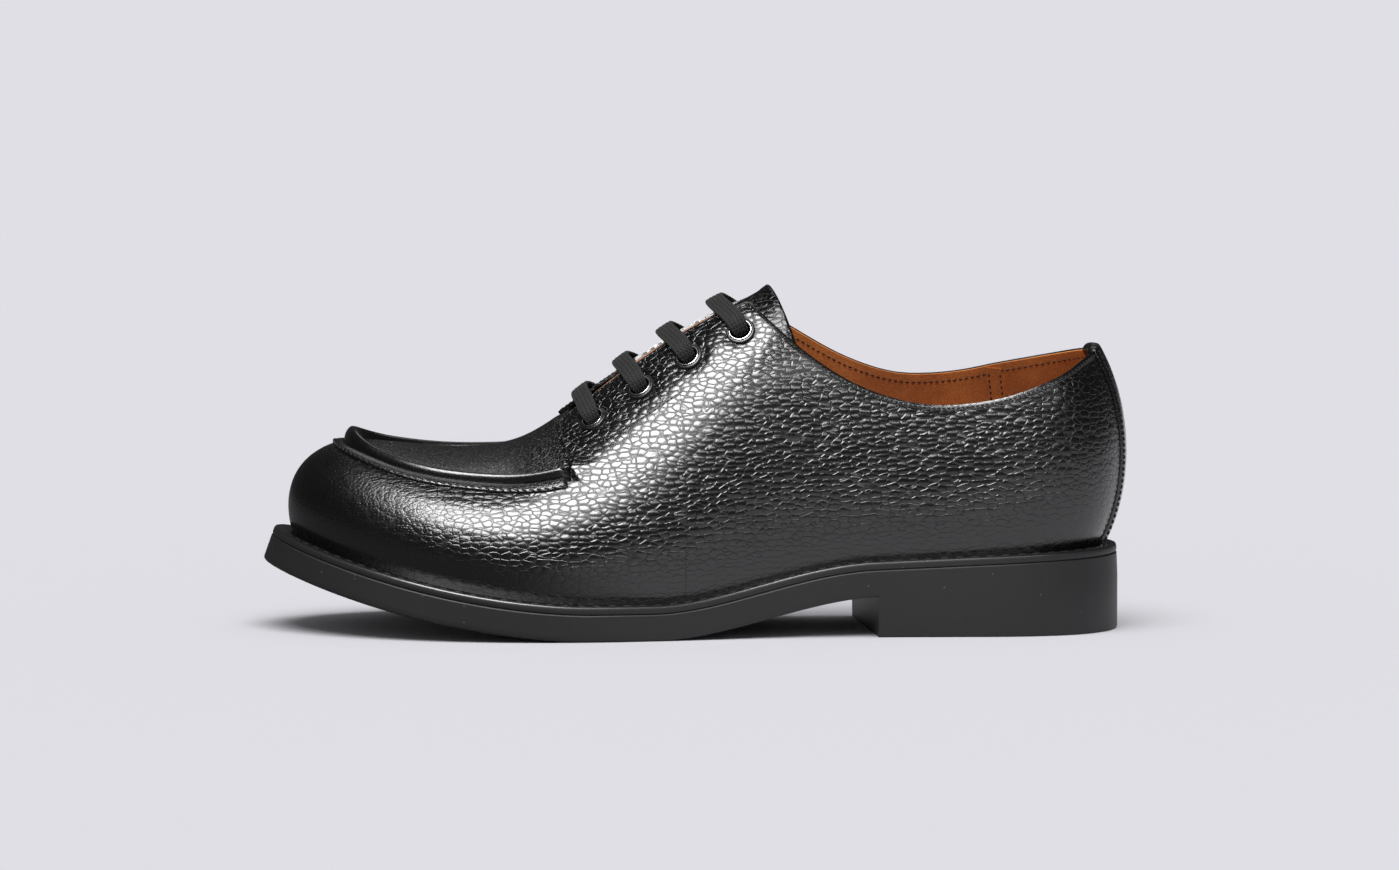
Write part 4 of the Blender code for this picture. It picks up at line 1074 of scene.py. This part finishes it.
def make_apron():
    ways = np.concatenate([np.linspace(WAY_TAB - 0.012, WAY_TAB + 0.016, 12, endpoint=False),
                           np.linspace(WAY_TAB + 0.016, 1.0, 130)])
    u = round_toe(ways)
    way = way_of(u)
    sections = Sections(u)
    ridge = sections.length(SEAM_AT(u))[:, 0]
    profile = np.array(SEAM_PROFILE)
    swell = seam_swell(way)[:, None]
    wide = 1 + 0.45 * smooth_step(way, 0.84, 0.97)[:, None]
    across, high = profile.T
    foot = ROLL_FOOT * wide
    band = foot + (across - ROLL_FOOT) * (BAND_WIDTH - foot) / (BAND_WIDTH - ROLL_FOOT)
    outside = np.where(across > ROLL_FOOT, band, across * wide)
    seam_h = sections.height(ridge[:, None] - outside)
    rolled = np.where(np.abs(across) < 0.0022, swell, np.minimum(swell, 1.0))
    stand = np.where(high > -APRON_DROP, -APRON_DROP + (high + APRON_DROP) * rolled, high)
    under_tab = 1 - smooth_step(way, WAY_TAB - 0.002, WAY_TAB + 0.006)[:, None]
    stand = stand - under_tab * 0.0004
    inner_run = sections.length(seam_h[:, -1:])
    whole = sections.lengths[:, -1:]
    shares = np.linspace(0, 1, 40)[1:]
    apron_h = sections.height(inner_run + (whole - inner_run) * shares)
    h = np.concatenate([seam_h, apron_h], axis=1)
    stand = np.concatenate([stand, np.full(apron_h.shape, -APRON_DROP) - under_tab * 0.0004], axis=1)
    outer = surface(u[:, None], h, stand)
    rows = np.arange(h.shape[1])
    sunk = smooth_step(rows, 6, len(SEAM_PROFILE) - 2)[None, :]
    below = 0.00005 * (1 - sunk) - (APRON_DROP + LEATHER - 0.0001) * sunk
    inner = surface(u[:, None], h, np.minimum(below, stand - 0.00005))
    profile_rows = len(SEAM_PROFILE)
    grain = np.full(h.shape, 1.0)
    grain[:, :8] = 0.55
    grain[:, 8:profile_rows - 2] = 0.10
    grain = grain * (1 - 0.45 * smooth_step(way, 0.80, 1.0))[:, None]
    grain[:, profile_rows:] *= 1 + 0.55 * (1 - smooth_step(way, 0.60, 0.72))[:, None]
    values = {"grain": grain, "fine": np.where(rows[None, :] > profile_rows, 0.85, 0.7) + 0 * h}
    lattice = Lattice()
    lattice.grid(outer, **values)
    lattice.grid(inner, flip=True)
    lattice.strip(outer[:, 0], inner[:, 0], grain=0.1)
    lattice.strip(outer[0], inner[0], grain=0.2)
    lattice.strip(outer[-1], inner[-1], grain=0.2)
    new_piece("apron_leather", lattice, [BLACK], ["upper"])
    clear = way > WAY_TAB + 0.006
    line = outer[clear][:, 3] * 0.5 + outer[clear][:, 2] * 0.5
    normals = outward(u[:, None], h)[clear][:, 3]
    stitch_row("apron", "", line, normals, BLACK_THREAD, slant=0.22)


# Lining, inside the collar and under the apron

def deepened(u, above_seam):
    """How much lower the layers lie above the seam: the apron lies lower, under the tabs too."""
    ease = np.clip((way_of(u) - WAY_TAB + 2 * WAY_TAB_CORNER) / (2 * WAY_TAB_CORNER), 0, 1)
    return APRON_DROP * ease * above_seam


def make_lining():
    lattice = Lattice()
    for side in (1, -1):
        behind, front = skin_grids(side, trim=0.0001)
        for u, h in (behind, front):
            rows = np.arange(h.shape[1])
            h = np.maximum(h, 0.02 + 0.001 * rows)
            deeper = deepened(u, smooth_step(rows, WALL_ROWS - 4, WALL_ROWS + 6))
            bowed = u + tab_bow(way_of(u), h) * side_of(u)
            outer = surface(bowed, h, -LINING_DEPTH - deeper)
            inner = surface(bowed, h, -WALL - deeper)
            lattice.grid(outer)
            lattice.grid(inner, flip=True)
            lattice.strip(outer[:, -1], inner[:, -1])
            lattice.strip(outer[:, 0], inner[:, 0])
            if u is behind[0]:
                lattice.strip(outer[-1, WALL_ROWS - 1:], inner[-1, WALL_ROWS - 1:])
    new_piece("lining", lattice, [TAN], ["upper"], drop=at_an_eyelet)


def make_apron_lining():
    ways = np.linspace(WAY_TAB, 1.0, 70)
    u = round_toe(ways)[:, None]
    sections = Sections(u[:, 0])
    ridge = sections.length(SEAM_AT(u[:, 0]))
    start = ridge - BAND_WIDTH + BAND_OVERLAP - 0.003
    whole = sections.lengths[:, -1:]
    h = sections.height(start + (whole - start) * np.linspace(0, 1, 30))
    drop_down = APRON_DROP * smooth_step(np.arange(30), 0, 5)[None, :]
    closed_sheet("apron_lining", surface(u, h, -LINING_DEPTH - drop_down), surface(u, h, -WALL - drop_down),
                 [TAN], "lining", ["upper"])


def make_lining_stitches(name, side):
    """Rows of thread inside the collar, below its edge and beside the overlap of the two linings."""
    u = on_side(np.linspace(0.035, 0.395, 200), side)
    sections = Sections(u)
    h = sections.height(sections.length(upper_edge(u)[:, None]) - 0.0030)[:, 0]
    stitch_row("lining", f"_{name}", surface(u, h, -WALL), -outward(u, h), TAN_THREAD)
    u_low = on_side(OVERLAP_WAY, side)
    section = Sections([u_low])
    top = float(section.length(upper_edge(u_low)[:, None])[0, 0])
    h = section.height(np.linspace(0.030, top - 0.0030, 60)[None, :])[0]
    for k, shift in enumerate((-0.0024, 0.0024)):
        u = np.full(60, u_low + shift / OVERLAP_PACE * side)
        points = surface(u, h, -WALL - 0.0002)
        stitch_row("overlap", f"_{name}_{k + 1}", points, -outward(u, h), TAN_THREAD)
    u = u_low + np.linspace(-0.0038, 0.0038, 9)[:, None] / OVERLAP_PACE
    h = section.height(np.linspace(0.028, top - 0.0012, 50)[None, :])
    thick = 0.0004 * (1 - np.linspace(-1, 1, 9) ** 6)[:, None]
    closed_sheet(f"lining_overlap_{name}", surface(u, h, -WALL + 0.0001), surface(u, h, -WALL - thick),
                 [TAN], "lining")


# Edge rows of stitches on the outside

def make_upper_stitches(name, side):
    """Rows of thread below the top edge, along the tab's front and beside the facing."""
    ways = np.linspace(0.030, WAY_TAB - 0.0035, 420)
    u = on_side(ways, side)
    sections = Sections(u)
    inset_run = 0.0012 + 0.0003 * smooth_step(ways, 0.36, 0.44)[:, None]
    h = sections.height(sections.length(upper_edge(u)[:, None]) - inset_run)[:, 0]
    u = u + tab_bow(ways, h) * side
    points, normals = surface(u, h), outward(u, h)
    points = points - normals * eyelet_dimple(points)[:, None]
    stitch_row("topline", f"_{name}", points, normals, BLACK_THREAD)
    tab_u = on_side(WAY_TAB - TAB_STITCH_INSET, side)
    h = np.linspace(float(SEAM_AT(tab_u)[0, 0]) + 0.03, float(upper_edge(tab_u)[0]) - 0.004, 120)
    u = tab_u + tab_bow(np.full(120, way_of(tab_u)), h) * side
    points = surface(u, h, tab_pucker(u, surface(u, h)))
    stitch_row("tab", f"_{name}", points, outward(u, h), BLACK_THREAD)
    share = np.linspace(0, 1, 200)
    u = on_side(WAY_TAB - STAY_START - share * STAY_LENGTH, side)
    sections = Sections(u)
    facing = sections.length(first_rise(u, inside_gap)[:, None])
    h = sections.height(facing - stay_depth(share)[:, None])[:, 0]
    points = surface(u, h, tab_pucker(u, surface(u, h)))
    stitch_row("stay", f"_{name}", points, outward(u, h), BLACK_THREAD, sink=0.55)


# Back strip

def level_line(u, height):
    """Points of the sections u at a height over the floor, and their h."""
    low = np.zeros(len(u))
    high = np.full(len(u), 0.95)
    for _ in range(24):
        middle = (low + high) / 2
        below = last(u, middle)[:, 2] < height
        low = np.where(below, middle, low)
        high = np.where(below, high, middle)
    return last(u, middle), middle


def strip_places(height, offsets):
    """(u, h) of points at a height and at sideways distances from the heel's centre line."""
    u = np.linspace(-0.10, 0.10, 161)
    line, heights = level_line(u, height)
    ways = np.interp(offsets, line[:, 1], u)
    return ways, np.interp(ways, u, heights)


def make_back_strip():
    across = np.sin(np.linspace(-math.pi / 2, math.pi / 2, 37))
    offsets = across * STRIP_WIDTH / 2
    bottom = float(feather(0.0)[0, 2]) + STRIP_THICKNESS + CLEARANCE
    top = float(last(0.0, upper_edge(0.0))[0, 2])
    rows = [strip_places(height, offsets) for height in np.linspace(bottom, top - STRIP_WIDTH / 4, 60)]
    ways, heights = rows[-1]
    edges = upper_edge(ways)
    for share in np.linspace(0, 1, 9)[1:]:
        rows.append((ways, heights + share * (edges - heights)))
    full = np.clip(1 - np.abs(across) ** 14, 0.05, 1)
    thick = STRIP_THICKNESS * full
    crown = (0.15 + 0.75 * full)[:, None]
    under, over = [], []
    for row_ways, row_heights in rows:
        under.append(surface(row_ways, row_heights, CLEARANCE / 3))
        over.append(surface(row_ways, row_heights, CLEARANCE / 3 + thick))
    edge_places = last(ways, edges)
    edge_normals = outward(ways, edges)
    up = unit(edge_places - last(ways, edges - 0.01))
    middle = edge_places - edge_normals * WALL / 2
    for turn in np.linspace(0, math.pi, 13)[1:-1]:
        sideways, upward = edge_normals * math.cos(turn), up * math.sin(turn)
        under.append(middle + (sideways + 0.15 * upward) * (WALL / 2 + CLEARANCE / 3))
        over.append(middle + (sideways + crown * upward) * (WALL / 2 + CLEARANCE / 3 + thick[:, None]))
    length = np.linalg.norm(edge_places - last(ways, edges * 0), axis=1)
    for fold in np.linspace(0, 1, 9):
        lower = edges - fold * STRIP_FOLD / length * edges
        under.append(surface(ways, lower, -WALL - CLEARANCE / 3))
        over.append(surface(ways, lower, -WALL - CLEARANCE / 3 - thick))
    over, under = np.stack(over), np.stack(under)
    closed_sheet("back_strip_leather", over, under, [BLACK], "upper_leather", ["back_strip"],
                 grain=0.42, fine=0.75)
    for name, column in (("outer", 34), ("inner", 2)):
        u = np.array([row[0][column] for row in rows]) * 0.89
        h = np.array([row[1][column] for row in rows])
        points = surface(u, h, CLEARANCE / 3 + STRIP_THICKNESS)
        stitch_row("back", f"_{name}", points, outward(u, h), BLACK_THREAD)


# Tongue's rows: the way round, its half width as a share of the tongue's, and how far its
# middle hangs as a share of the sag
TONGUE_ROWS = [
    (0.393, 0.60, -1.0),
    (0.395, 0.85, -0.9),
    (0.400, 0.95, -0.5),
    (0.409, 0.98, 0.2),
    (0.440, 1.00, 1.0),
    (0.480, 0.98, 1.0),
    (0.520, 0.92, 1.0),
    (0.560, 0.84, 1.0),
    (0.600, 0.74, 1.0),
    (0.625, 0.68, 1.0),
]


def crosswise(ways, sideways):
    """u and h at distances to the outer side, on planes square to the centre line at each way."""
    side = np.where(sideways >= 0, 1.0, -1.0)
    centre = SPINE_AT(ways)
    along = SPINE_AT(ways, slope=True)
    speed = np.linalg.norm(along, axis=1)
    along = along / speed[:, None]
    heights = np.linspace(0.3, 1.0, 141)
    own = np.array(ways, float)
    for _ in range(8):
        u = np.where(side > 0, own, 2 - own)
        lines = last(u[:, None], heights[None, :])
        away = (lines[..., 1] - SPINE_AT(u)[:, 1:2]) * side[:, None]
        h = np.array([np.interp(-abs(wanted), -row, heights) for wanted, row in zip(sideways, away)])
        own = own - np.sum((last(u, h) - centre) * along, axis=1) / speed
    return u, h


def make_tongue():
    numbered = [(k, *row) for k, row in enumerate(TONGUE_ROWS)]
    steps = np.concatenate([np.linspace(0, 3, 16, endpoint=False), np.linspace(3, 9, 50)])
    ways, widths, hangs = (smooth_line(numbered, column)(steps) for column in (1, 2, 3))
    across = np.sin(np.linspace(-1, 1, 41) * math.pi / 2)
    outer, middle, inner = [], [], []
    for i, (way, width, hang) in enumerate(zip(ways, widths, hangs)):
        own_ways = way - TONGUE_SWEEP * np.abs(across * width) ** 1.2
        u, h = crosswise(own_ways, across * width * TONGUE_WIDTH / 2)
        wall = WALL + deepened(u, True)
        depth = wall + 2 * CLEARANCE + hang * TONGUE_SAG * (1 - across**2) + TONGUE_THICKNESS / 2
        end = min(1.0, (i + 0.2) / 3)
        full = np.sqrt(np.clip(1 - np.abs(across) ** 24, 0.02, 1)) * math.sqrt(1 - (1 - end) ** 2)
        half = TONGUE_THICKNESS / 2 * full
        outer.append(surface(u, h, half - depth))
        middle.append(surface(u, h, -0.85 * half - depth))
        inner.append(surface(u, h, -half - depth))
    outer, middle, inner = np.stack(outer), np.stack(middle), np.stack(inner)
    closed_sheet("tongue_leather", outer, middle, [DULL_BLACK], "upper_leather", ["tongue"],
                 grain=0.9, fine=0.15)
    closed_sheet("tongue_lining", middle[8:, 1:-1], inner[8:, 1:-1], [TAN], "lining", ["tongue"])


# Eyelets

def frame_on(place, direction):
    """A matrix at a place with Z along direction and X close to the shoe's own."""
    z = Vector(direction).normalized()
    x = (Vector((1, 0, 0)) - z * z.x).normalized()
    y = z.cross(x)
    turn = Matrix((x, y, z)).transposed().to_4x4()
    return np.array(Matrix.Translation(Vector(place)) @ turn)


FLANGE_PROFILE = [  # radius, height, material
    (0.0051, -0.0006, 0),
    (0.0051, -0.0001, 0),
    (0.0050, 0.0002, 0),
    (0.0048, 0.00034, 0),
    (0.0044, 0.00038, 0),
    (0.0042, 0.00038, 0),
    (0.00415, 0.00058, 0),
    (0.0040, 0.00072, 1),
    (0.0038, 0.00076, 1),
    (0.0036, 0.00066, 1),
    (0.0035, 0.00045, 0),
    (0.0034, 0.0000, 0),
    (0.0033, -0.0006, 0),
    (0.0032, -0.0012, 0),
    (0.0032, -0.0045, 0),
]


def make_eyelets():
    """Painted flanges with a bright rolled rim and a dark barrel."""
    radius, height, kinds = np.array(FLANGE_PROFILE).T
    turns = np.linspace(0, 2 * math.pi, 49)
    ring = np.stack([radius[:, None] * np.cos(turns), radius[:, None] * np.sin(turns),
                     height[:, None] + 0 * turns], -1)
    for name, side in SIDES:
        for k, (_, _, place, direction) in enumerate(EYES[side]):
            matrix = frame_on(place - direction * 0.00005, direction)
            points = ring @ matrix[:3, :3].T + matrix[:3, 3]
            lattice = Lattice()
            for first in range(len(points) - 1):
                lattice.grid(points[first:first + 2], material=int(kinds[first]))
            node_name = f"eyelet_{name}_{k + 1}"
            new_piece(f"{node_name}_ring", lattice, [BLACK_PAINT, BRIGHT_METAL], [node_name],
                      sharp=80)


# Laces

def facing_place(place, side, lean):
    """u and h of the facing's edge, a distance toward the toe from where it is nearest to a place."""
    u = on_side(np.linspace(WAY_TOP_CORNER, WAY_TAB - FACING_END, 400), side)
    heights = first_rise(u, inside_gap)
    line = last(u, heights)
    run = run_along(line)
    wanted = run[np.argmin(np.linalg.norm(line - place, axis=1))] + lean
    return float(np.interp(wanted, run, u)), float(np.interp(wanted, run, heights))


def lace_end(eye, side, lean):
    """The bar from inside an eyelet up to the facing's edge: points, up directions and widths."""
    u, h, place, direction = eye
    edge_u, edge_h = facing_place(place, side, lean)
    over = CLEARANCE + LACE_THICKNESS / 2
    on_leather = over + 2 * CLEARANCE
    on_flange = on_leather + EYELET_FLANGE_THICKNESS
    inward = last(u + 0.2 * (edge_u - u), h + 0.2 * (edge_h - h)) - place
    inward = unit(inward - direction * (inward @ direction))
    rows = [
        (place - direction * 0.0030 - inward * 0.0006, -inward, LACE_WIDTH_IN_EYELET),
        (place - direction * 0.0004 - inward * 0.0004, -inward, LACE_WIDTH_IN_EYELET),
        (place + direction * 0.0009 + inward * 0.0002, -inward, LACE_WIDTH_IN_EYELET * 1.10),
        (place + direction * 0.0020 + inward * 0.0012, direction - inward, LACE_WIDTH_IN_EYELET * 1.22),
        (place + direction * (on_flange + 0.0004) + inward * 0.0030, direction, LACE_WIDTH),
    ]
    for share in (0.52, 0.78, 1.0):
        row_u, row_h = u + share * (edge_u - u), h + share * (edge_h - h)
        normal = outward(row_u, row_h)
        over_leather = on_flange if share < 0.6 else on_leather
        rows.append((last(row_u, row_h) + normal * over_leather, normal, LACE_WIDTH))
    return rows


def along_line(values, run, at):
    """Smooth values along a run, through each given one."""
    return np.stack([smooth_line(list(zip(run, column)), 1)(at) for column in values.T], 1)


def make_lace(name, outer_eye, inner_eye, lean, node_name):
    """A flat braid: five ribs, each a chain of slanting strands."""
    rows = lace_end(outer_eye, 1, lean) + lace_end(inner_eye, -1, lean)[::-1]
    route, ups, widths = (np.array([row[column] for row in rows]) for column in range(3))
    run = run_along(route)
    at = np.linspace(0, run[-1], 370)
    centre = along_line(route, run, at)
    up = along_line(ups, run, at)
    width = np.interp(at, run, widths)
    along = unit(np.gradient(centre, axis=0))
    up = unit(up - along * np.sum(up * along, axis=1)[:, None])
    side = np.cross(along, up)
    turns = np.linspace(0, 2 * math.pi, 105)
    flat_x = np.sign(np.cos(turns)) * np.abs(np.cos(turns)) ** 0.75
    flat_z = np.sign(np.sin(turns)) * np.abs(np.sin(turns)) ** 0.55
    rib = np.abs(np.sin(np.pi * 2.5 * (flat_x + 1)))
    lean_of_strand = np.abs(((flat_x + 1) * 2.5) % 1 - 0.5)
    strand = 0.5 + 0.5 * np.cos(2 * np.pi * (at[:, None] / 0.00125 + lean_of_strand[None, :] * 1.4))
    thick = LACE_THICKNESS / 2 * (0.66 + 0.28 * rib[None, :] + 0.30 * strand)
    rings = (centre[:, None] + side[:, None] * (flat_x[None, :] * width[:, None] / 2)[..., None]
             + up[:, None] * (flat_z[None, :] * thick)[..., None])
    lattice = Lattice()
    lattice.grid(rings, strand=strand * (0.25 + 0.75 * rib[None, :]))
    new_piece(name, lattice, [BRAID], [node_name], weld=1e-6, sharp=80)


def make_laces():
    for k in range(EYELET_COUNT):
        lean = LACE_LEAN * k / (EYELET_COUNT - 1)
        make_lace(f"lace_braid_{k + 1}", EYES[1][k], EYES[-1][k], lean, f"lace_bar_{k + 1}")


# Sole, welt and sock

def stations(counts):
    """Ways round at both ends of each line across the sole, counted for heel, waist, tread and toe."""
    ways = np.linspace(0, 1, 400)
    line = SOLE_EDGE(ways)[:, 0]
    other = SOLE_EDGE(2 - ways)[:, 0]
    breast_outer = np.interp(HEEL_LENGTH, line, ways)
    breast_inner = np.interp(HEEL_LENGTH + HEEL_BREAST_SKEW, other, ways)
    marks = [TREAD_FLAT_START, TREAD_FLAT_START + TREAD_FLAT_LENGTH]
    outer = [0, breast_outer, *np.interp(marks, line, ways), 1]
    inner = [0, breast_inner, *np.interp(marks, other, ways), 1]
    lines = []
    for knots in (outer, inner):
        runs = [np.linspace(knots[i], knots[i + 1], counts[i], endpoint=False) for i in range(4)]
        lines.append(np.concatenate(runs + [[1.0]]))
    return lines


def between(left, right, count):
    """Plan points on lines from left to right, (stations, across, 2)."""
    share = np.linspace(0, 1, count)[None, :, None]
    return left[:, None] * (1 - share) + right[:, None] * share


def over_grid(plan, height):
    """Points over a grid of plan points, at a height above the outsole's underside."""
    return over_sole(plan.reshape(-1, 2), height).reshape(plan.shape[:2] + (3,))


def tread(points, margin):
    """Depth of the tread's grooves: wavy bars across, inside a plain border."""
    x, y = points[..., 0], points[..., 1]
    bar = np.cos(2 * np.pi * (x + 0.0022 * np.cos(2 * np.pi * y / 0.018)) / 0.0075)
    grooves = smooth_step(bar, 0.35, 0.75)
    inside = smooth_step(margin, 0.006, 0.0072)
    return 0.0011 * grooves * inside


def edge_distance(points):
    """Rough distance of plan points inside the sole's edge."""
    edge = SOLE_EDGE(np.linspace(0, 2, 241)[:-1])
    flat = points[..., :2].reshape(-1, 2)
    nearest = np.full(len(flat), 1.0)
    for point in edge:
        nearest = np.minimum(nearest, np.hypot(flat[:, 0] - point[0], flat[:, 1] - point[1]))
    return nearest.reshape(points.shape[:-1])


def make_sole():
    counts = (70, 60, 20, 110)
    outer_ways, inner_ways = stations(counts)
    breast = counts[0]
    thick = OUTSOLE_THICKNESS - 0.0001
    rounding = [(0.0009, 0.0), (0.0004, 0.0001), (0.0001, 0.0004), (0.0, 0.0009), (0.0, 0.0025), (0.0, 0.005),
                (0.0, thick - 0.0004), (0.0003, thick - 0.00005), (0.0007, thick)]
    count = 90
    def plan_inside(distance):
        return between(inset(outer_ways, distance), inset(2 - inner_ways, distance), count)

    layers = [over_grid(plan_inside(distance), height) for distance, height in rounding]
    ground = []
    for distance, height in ((0.0009, 0.0), (0.0003, 0.0002), (0.0, 0.0008)):
        plan = plan_inside(distance)
        ground.append(np.concatenate([plan, np.full(plan.shape[:2] + (1,), height)], -1))
    lattice = Lattice()
    lattice.grid(layers[-1])
    low = layers[0][breast:]
    margin = edge_distance(low)
    clear_breast = smooth_step(low[..., 0], HEEL_LENGTH + 0.028, HEEL_LENGTH + 0.032)
    lattice.grid(low + np.array([0, 0, 1.0]) * (tread(low, margin) * clear_breast)[..., None], flip=True)
    base = ground[0][: breast + 1]
    margin = np.minimum(edge_distance(base), (HEEL_LENGTH - base[..., 0]))
    lattice.grid(base + np.array([0, 0, 1.0]) * tread(base, margin)[..., None], flip=True)
    lattice.strip(layers[0][breast], ground[0][breast])
    for side in (0, -1):
        for below, above in zip(layers, layers[1:]):
            lattice.strip(below[breast:, side], above[breast:, side])
        heel_walls = ground + layers[3:]
        for below, above in zip(heel_walls, heel_walls[1:]):
            lattice.strip(below[: breast + 1, side], above[: breast + 1, side])
    new_piece("sole_rubber", lattice, [RUBBER], ["sole"], sharp=38)


def make_welt():
    u = np.linspace(0, 2, 721)
    inner = MARGIN_AT(u)[:, 0] + WELT_TUCK
    low, high = OUTSOLE_THICKNESS, OUTSOLE_THICKNESS + WELT_THICKNESS
    profile = [
        (0.0006, low), (0.0002, low + 0.0002), (0.0, low + 0.0006), (0.0, high - 0.0011),
        (0.00008, high - 0.0006), (0.0003, high - 0.0002), (0.0007, high), (0.0013, high + 0.00005),
        (0.0020, high + 0.00005), (0.0034, high + 0.0001), (inner, high - 0.0002), (inner, low),
        (0.0006, low),
    ]
    rings = np.stack([over_sole(inset(u, distance), height) for distance, height in profile])
    lattice = Lattice()
    lattice.grid(rings[:5], material=0)
    lattice.grid(rings[4:12], material=1)
    lattice.grid(rings[11:], material=0)
    new_piece("welt_strip", lattice, [RUBBER, EDGE_BLACK], ["welt"], sharp=50)
    points = over_sole(inset(np.linspace(0, 2, 1200), 0.0023), high + 0.00005)
    normals = np.tile([0.0, 0.0, 1.0], (len(points), 1))
    stitch_row("welt", "", points, normals, WELT_THREAD, sink=0.62)


def make_sock():
    outer_ways, inner_ways = stations((40, 30, 10, 60))
    left, right = (inset(u, MARGIN_AT(u)[:, 0] + WALL + CLEARANCE) for u in (outer_ways, 2 - inner_ways))
    plan = between(left, right, 41)
    edge = 1 - (2 * np.abs(np.linspace(0, 1, 41) - 0.5)) ** 8
    top = over_grid(plan, OUTSOLE_THICKNESS + INSOLE_THICKNESS)
    top[..., 2] += -0.0006 * edge * smooth_step(plan[..., 0], 0.12, 0.06)
    closed_sheet("sock", top, over_grid(plan, OUTSOLE_THICKNESS + 0.0002), [SOCK_TAN], "lining", ["insole"])


# Stage, lights and camera

BACKDROP = (0.745, 0.738, 0.783, 1)
def make_stage():
    mesh = bpy.data.meshes.new("floor")
    size = 30.0
    corners = [(-size, -size, 0), (size, -size, 0), (size, size, 0), (-size, size, 0)]
    mesh.from_pydata(corners, [], [(0, 1, 2, 3)])
    material, tree, shader = new_material("studio_floor")
    # Seen only in reflections, the floor carries a painted shadow, dark toward the toe, and a painted
    # brighter reflection toward the heel
    mirrored = blend_colour(tree, remap(tree, object_place(tree).outputs["X"], -0.01, 0.08),
                            (0.90, 0.89, 0.93, 1), (0.16, 0.16, 0.17, 1))
    path = node(tree, "ShaderNodeLightPath")
    feed(tree, shader, Base_Color=blend_colour(tree, path.outputs["Is Glossy Ray"], BACKDROP, mirrored),
         Roughness=1.0, Specular_IOR_Level=0.0)
    mesh.materials.append(material)
    floor = bpy.data.objects.new("floor", mesh)
    bpy.context.scene.collection.objects.link(floor)


def make_world():
    """Even light on everything matt, with a dark room in the reflections."""
    world = bpy.data.worlds.new("studio")
    bpy.context.scene.world = world
    world.use_nodes = True
    tree = world.node_tree
    background = tree.nodes["Background"]
    path = node(tree, "ShaderNodeLightPath")
    even = blend_colour(tree, path.outputs["Is Camera Ray"], (0.25, 0.25, 0.25, 1), BACKDROP)
    seen = blend_colour(tree, path.outputs["Is Glossy Ray"], even, (0.04, 0.04, 0.042, 1))
    tree.links.new(seen, background.inputs["Color"])
    bpy.context.scene.view_settings.view_transform = "Standard"


def make_softbox(name, place, target, size, power):
    """A softbox seen only in reflections, so that matt surfaces keep the even light."""
    lamp = bpy.data.lights.new(name, "AREA")
    lamp.shape = "RECTANGLE"
    lamp.size, lamp.size_y = size
    lamp.energy = power
    light = bpy.data.objects.new(name, lamp)
    light.location = place
    light.rotation_euler = (Vector(target) - Vector(place)).to_track_quat("-Z", "Y").to_euler()
    light.visible_diffuse = False
    bpy.context.scene.collection.objects.link(light)


def make_overhead(strength, angle, tilt):
    """A wide, even light from above and a little from the camera's side, for matt surfaces only."""
    lamp = bpy.data.lights.new("overhead", "SUN")
    lamp.energy = strength
    lamp.angle = math.radians(angle)
    light = bpy.data.objects.new("overhead", lamp)
    light.location = (0, 0, 2)
    light.rotation_euler = (math.radians(-tilt), 0, 0)
    light.visible_glossy = False
    bpy.context.scene.collection.objects.link(light)


def make_camera():
    """The photo's view: seen from the outer side, a little from above."""
    width, focal_length = 1399, 4564.8
    distance, view = 1.6, math.radians(4.1)
    target = Vector((-0.0016, 0.0, 0.0672))
    camera = bpy.data.cameras.new("camera")
    camera.sensor_width = 36.0
    camera.lens = focal_length / width * camera.sensor_width
    camera.clip_start = 0.05
    camera.clip_end = 100.0
    holder = bpy.data.objects.new("camera", camera)
    holder.location = target + Vector((0, math.cos(view), math.sin(view))) * distance
    holder.rotation_euler = (target - holder.location).to_track_quat("-Z", "Y").to_euler()
    bpy.context.scene.collection.objects.link(holder)
    bpy.context.scene.camera = holder


make_camera()
make_stage()
make_world()
make_overhead(2.4775, 48.0, 18.0)
make_softbox("softbox", (0.22, 0.53, 0.77), (0.0, 0.02, 0.06), (0.50, 0.52), 17.5)
make_softbox("side_strip", (-0.20, 0.74, 0.56), (0.0, 0.02, 0.06), (0.75, 0.11), 2.2)
make_softbox("high_back", (-0.05, -0.55, 0.80), (0.0, 0.0, 0.08), (0.7, 0.4), 1.0)

make_sole()
make_welt()
make_sock()
make_skin()
make_apron()
make_lining()
make_apron_lining()
for side_name, side_sign in SIDES:
    make_lining_stitches(side_name, side_sign)
for side_name, side_sign in SIDES:
    make_upper_stitches(side_name, side_sign)
make_back_strip()
make_tongue()
make_eyelets()
make_laces()
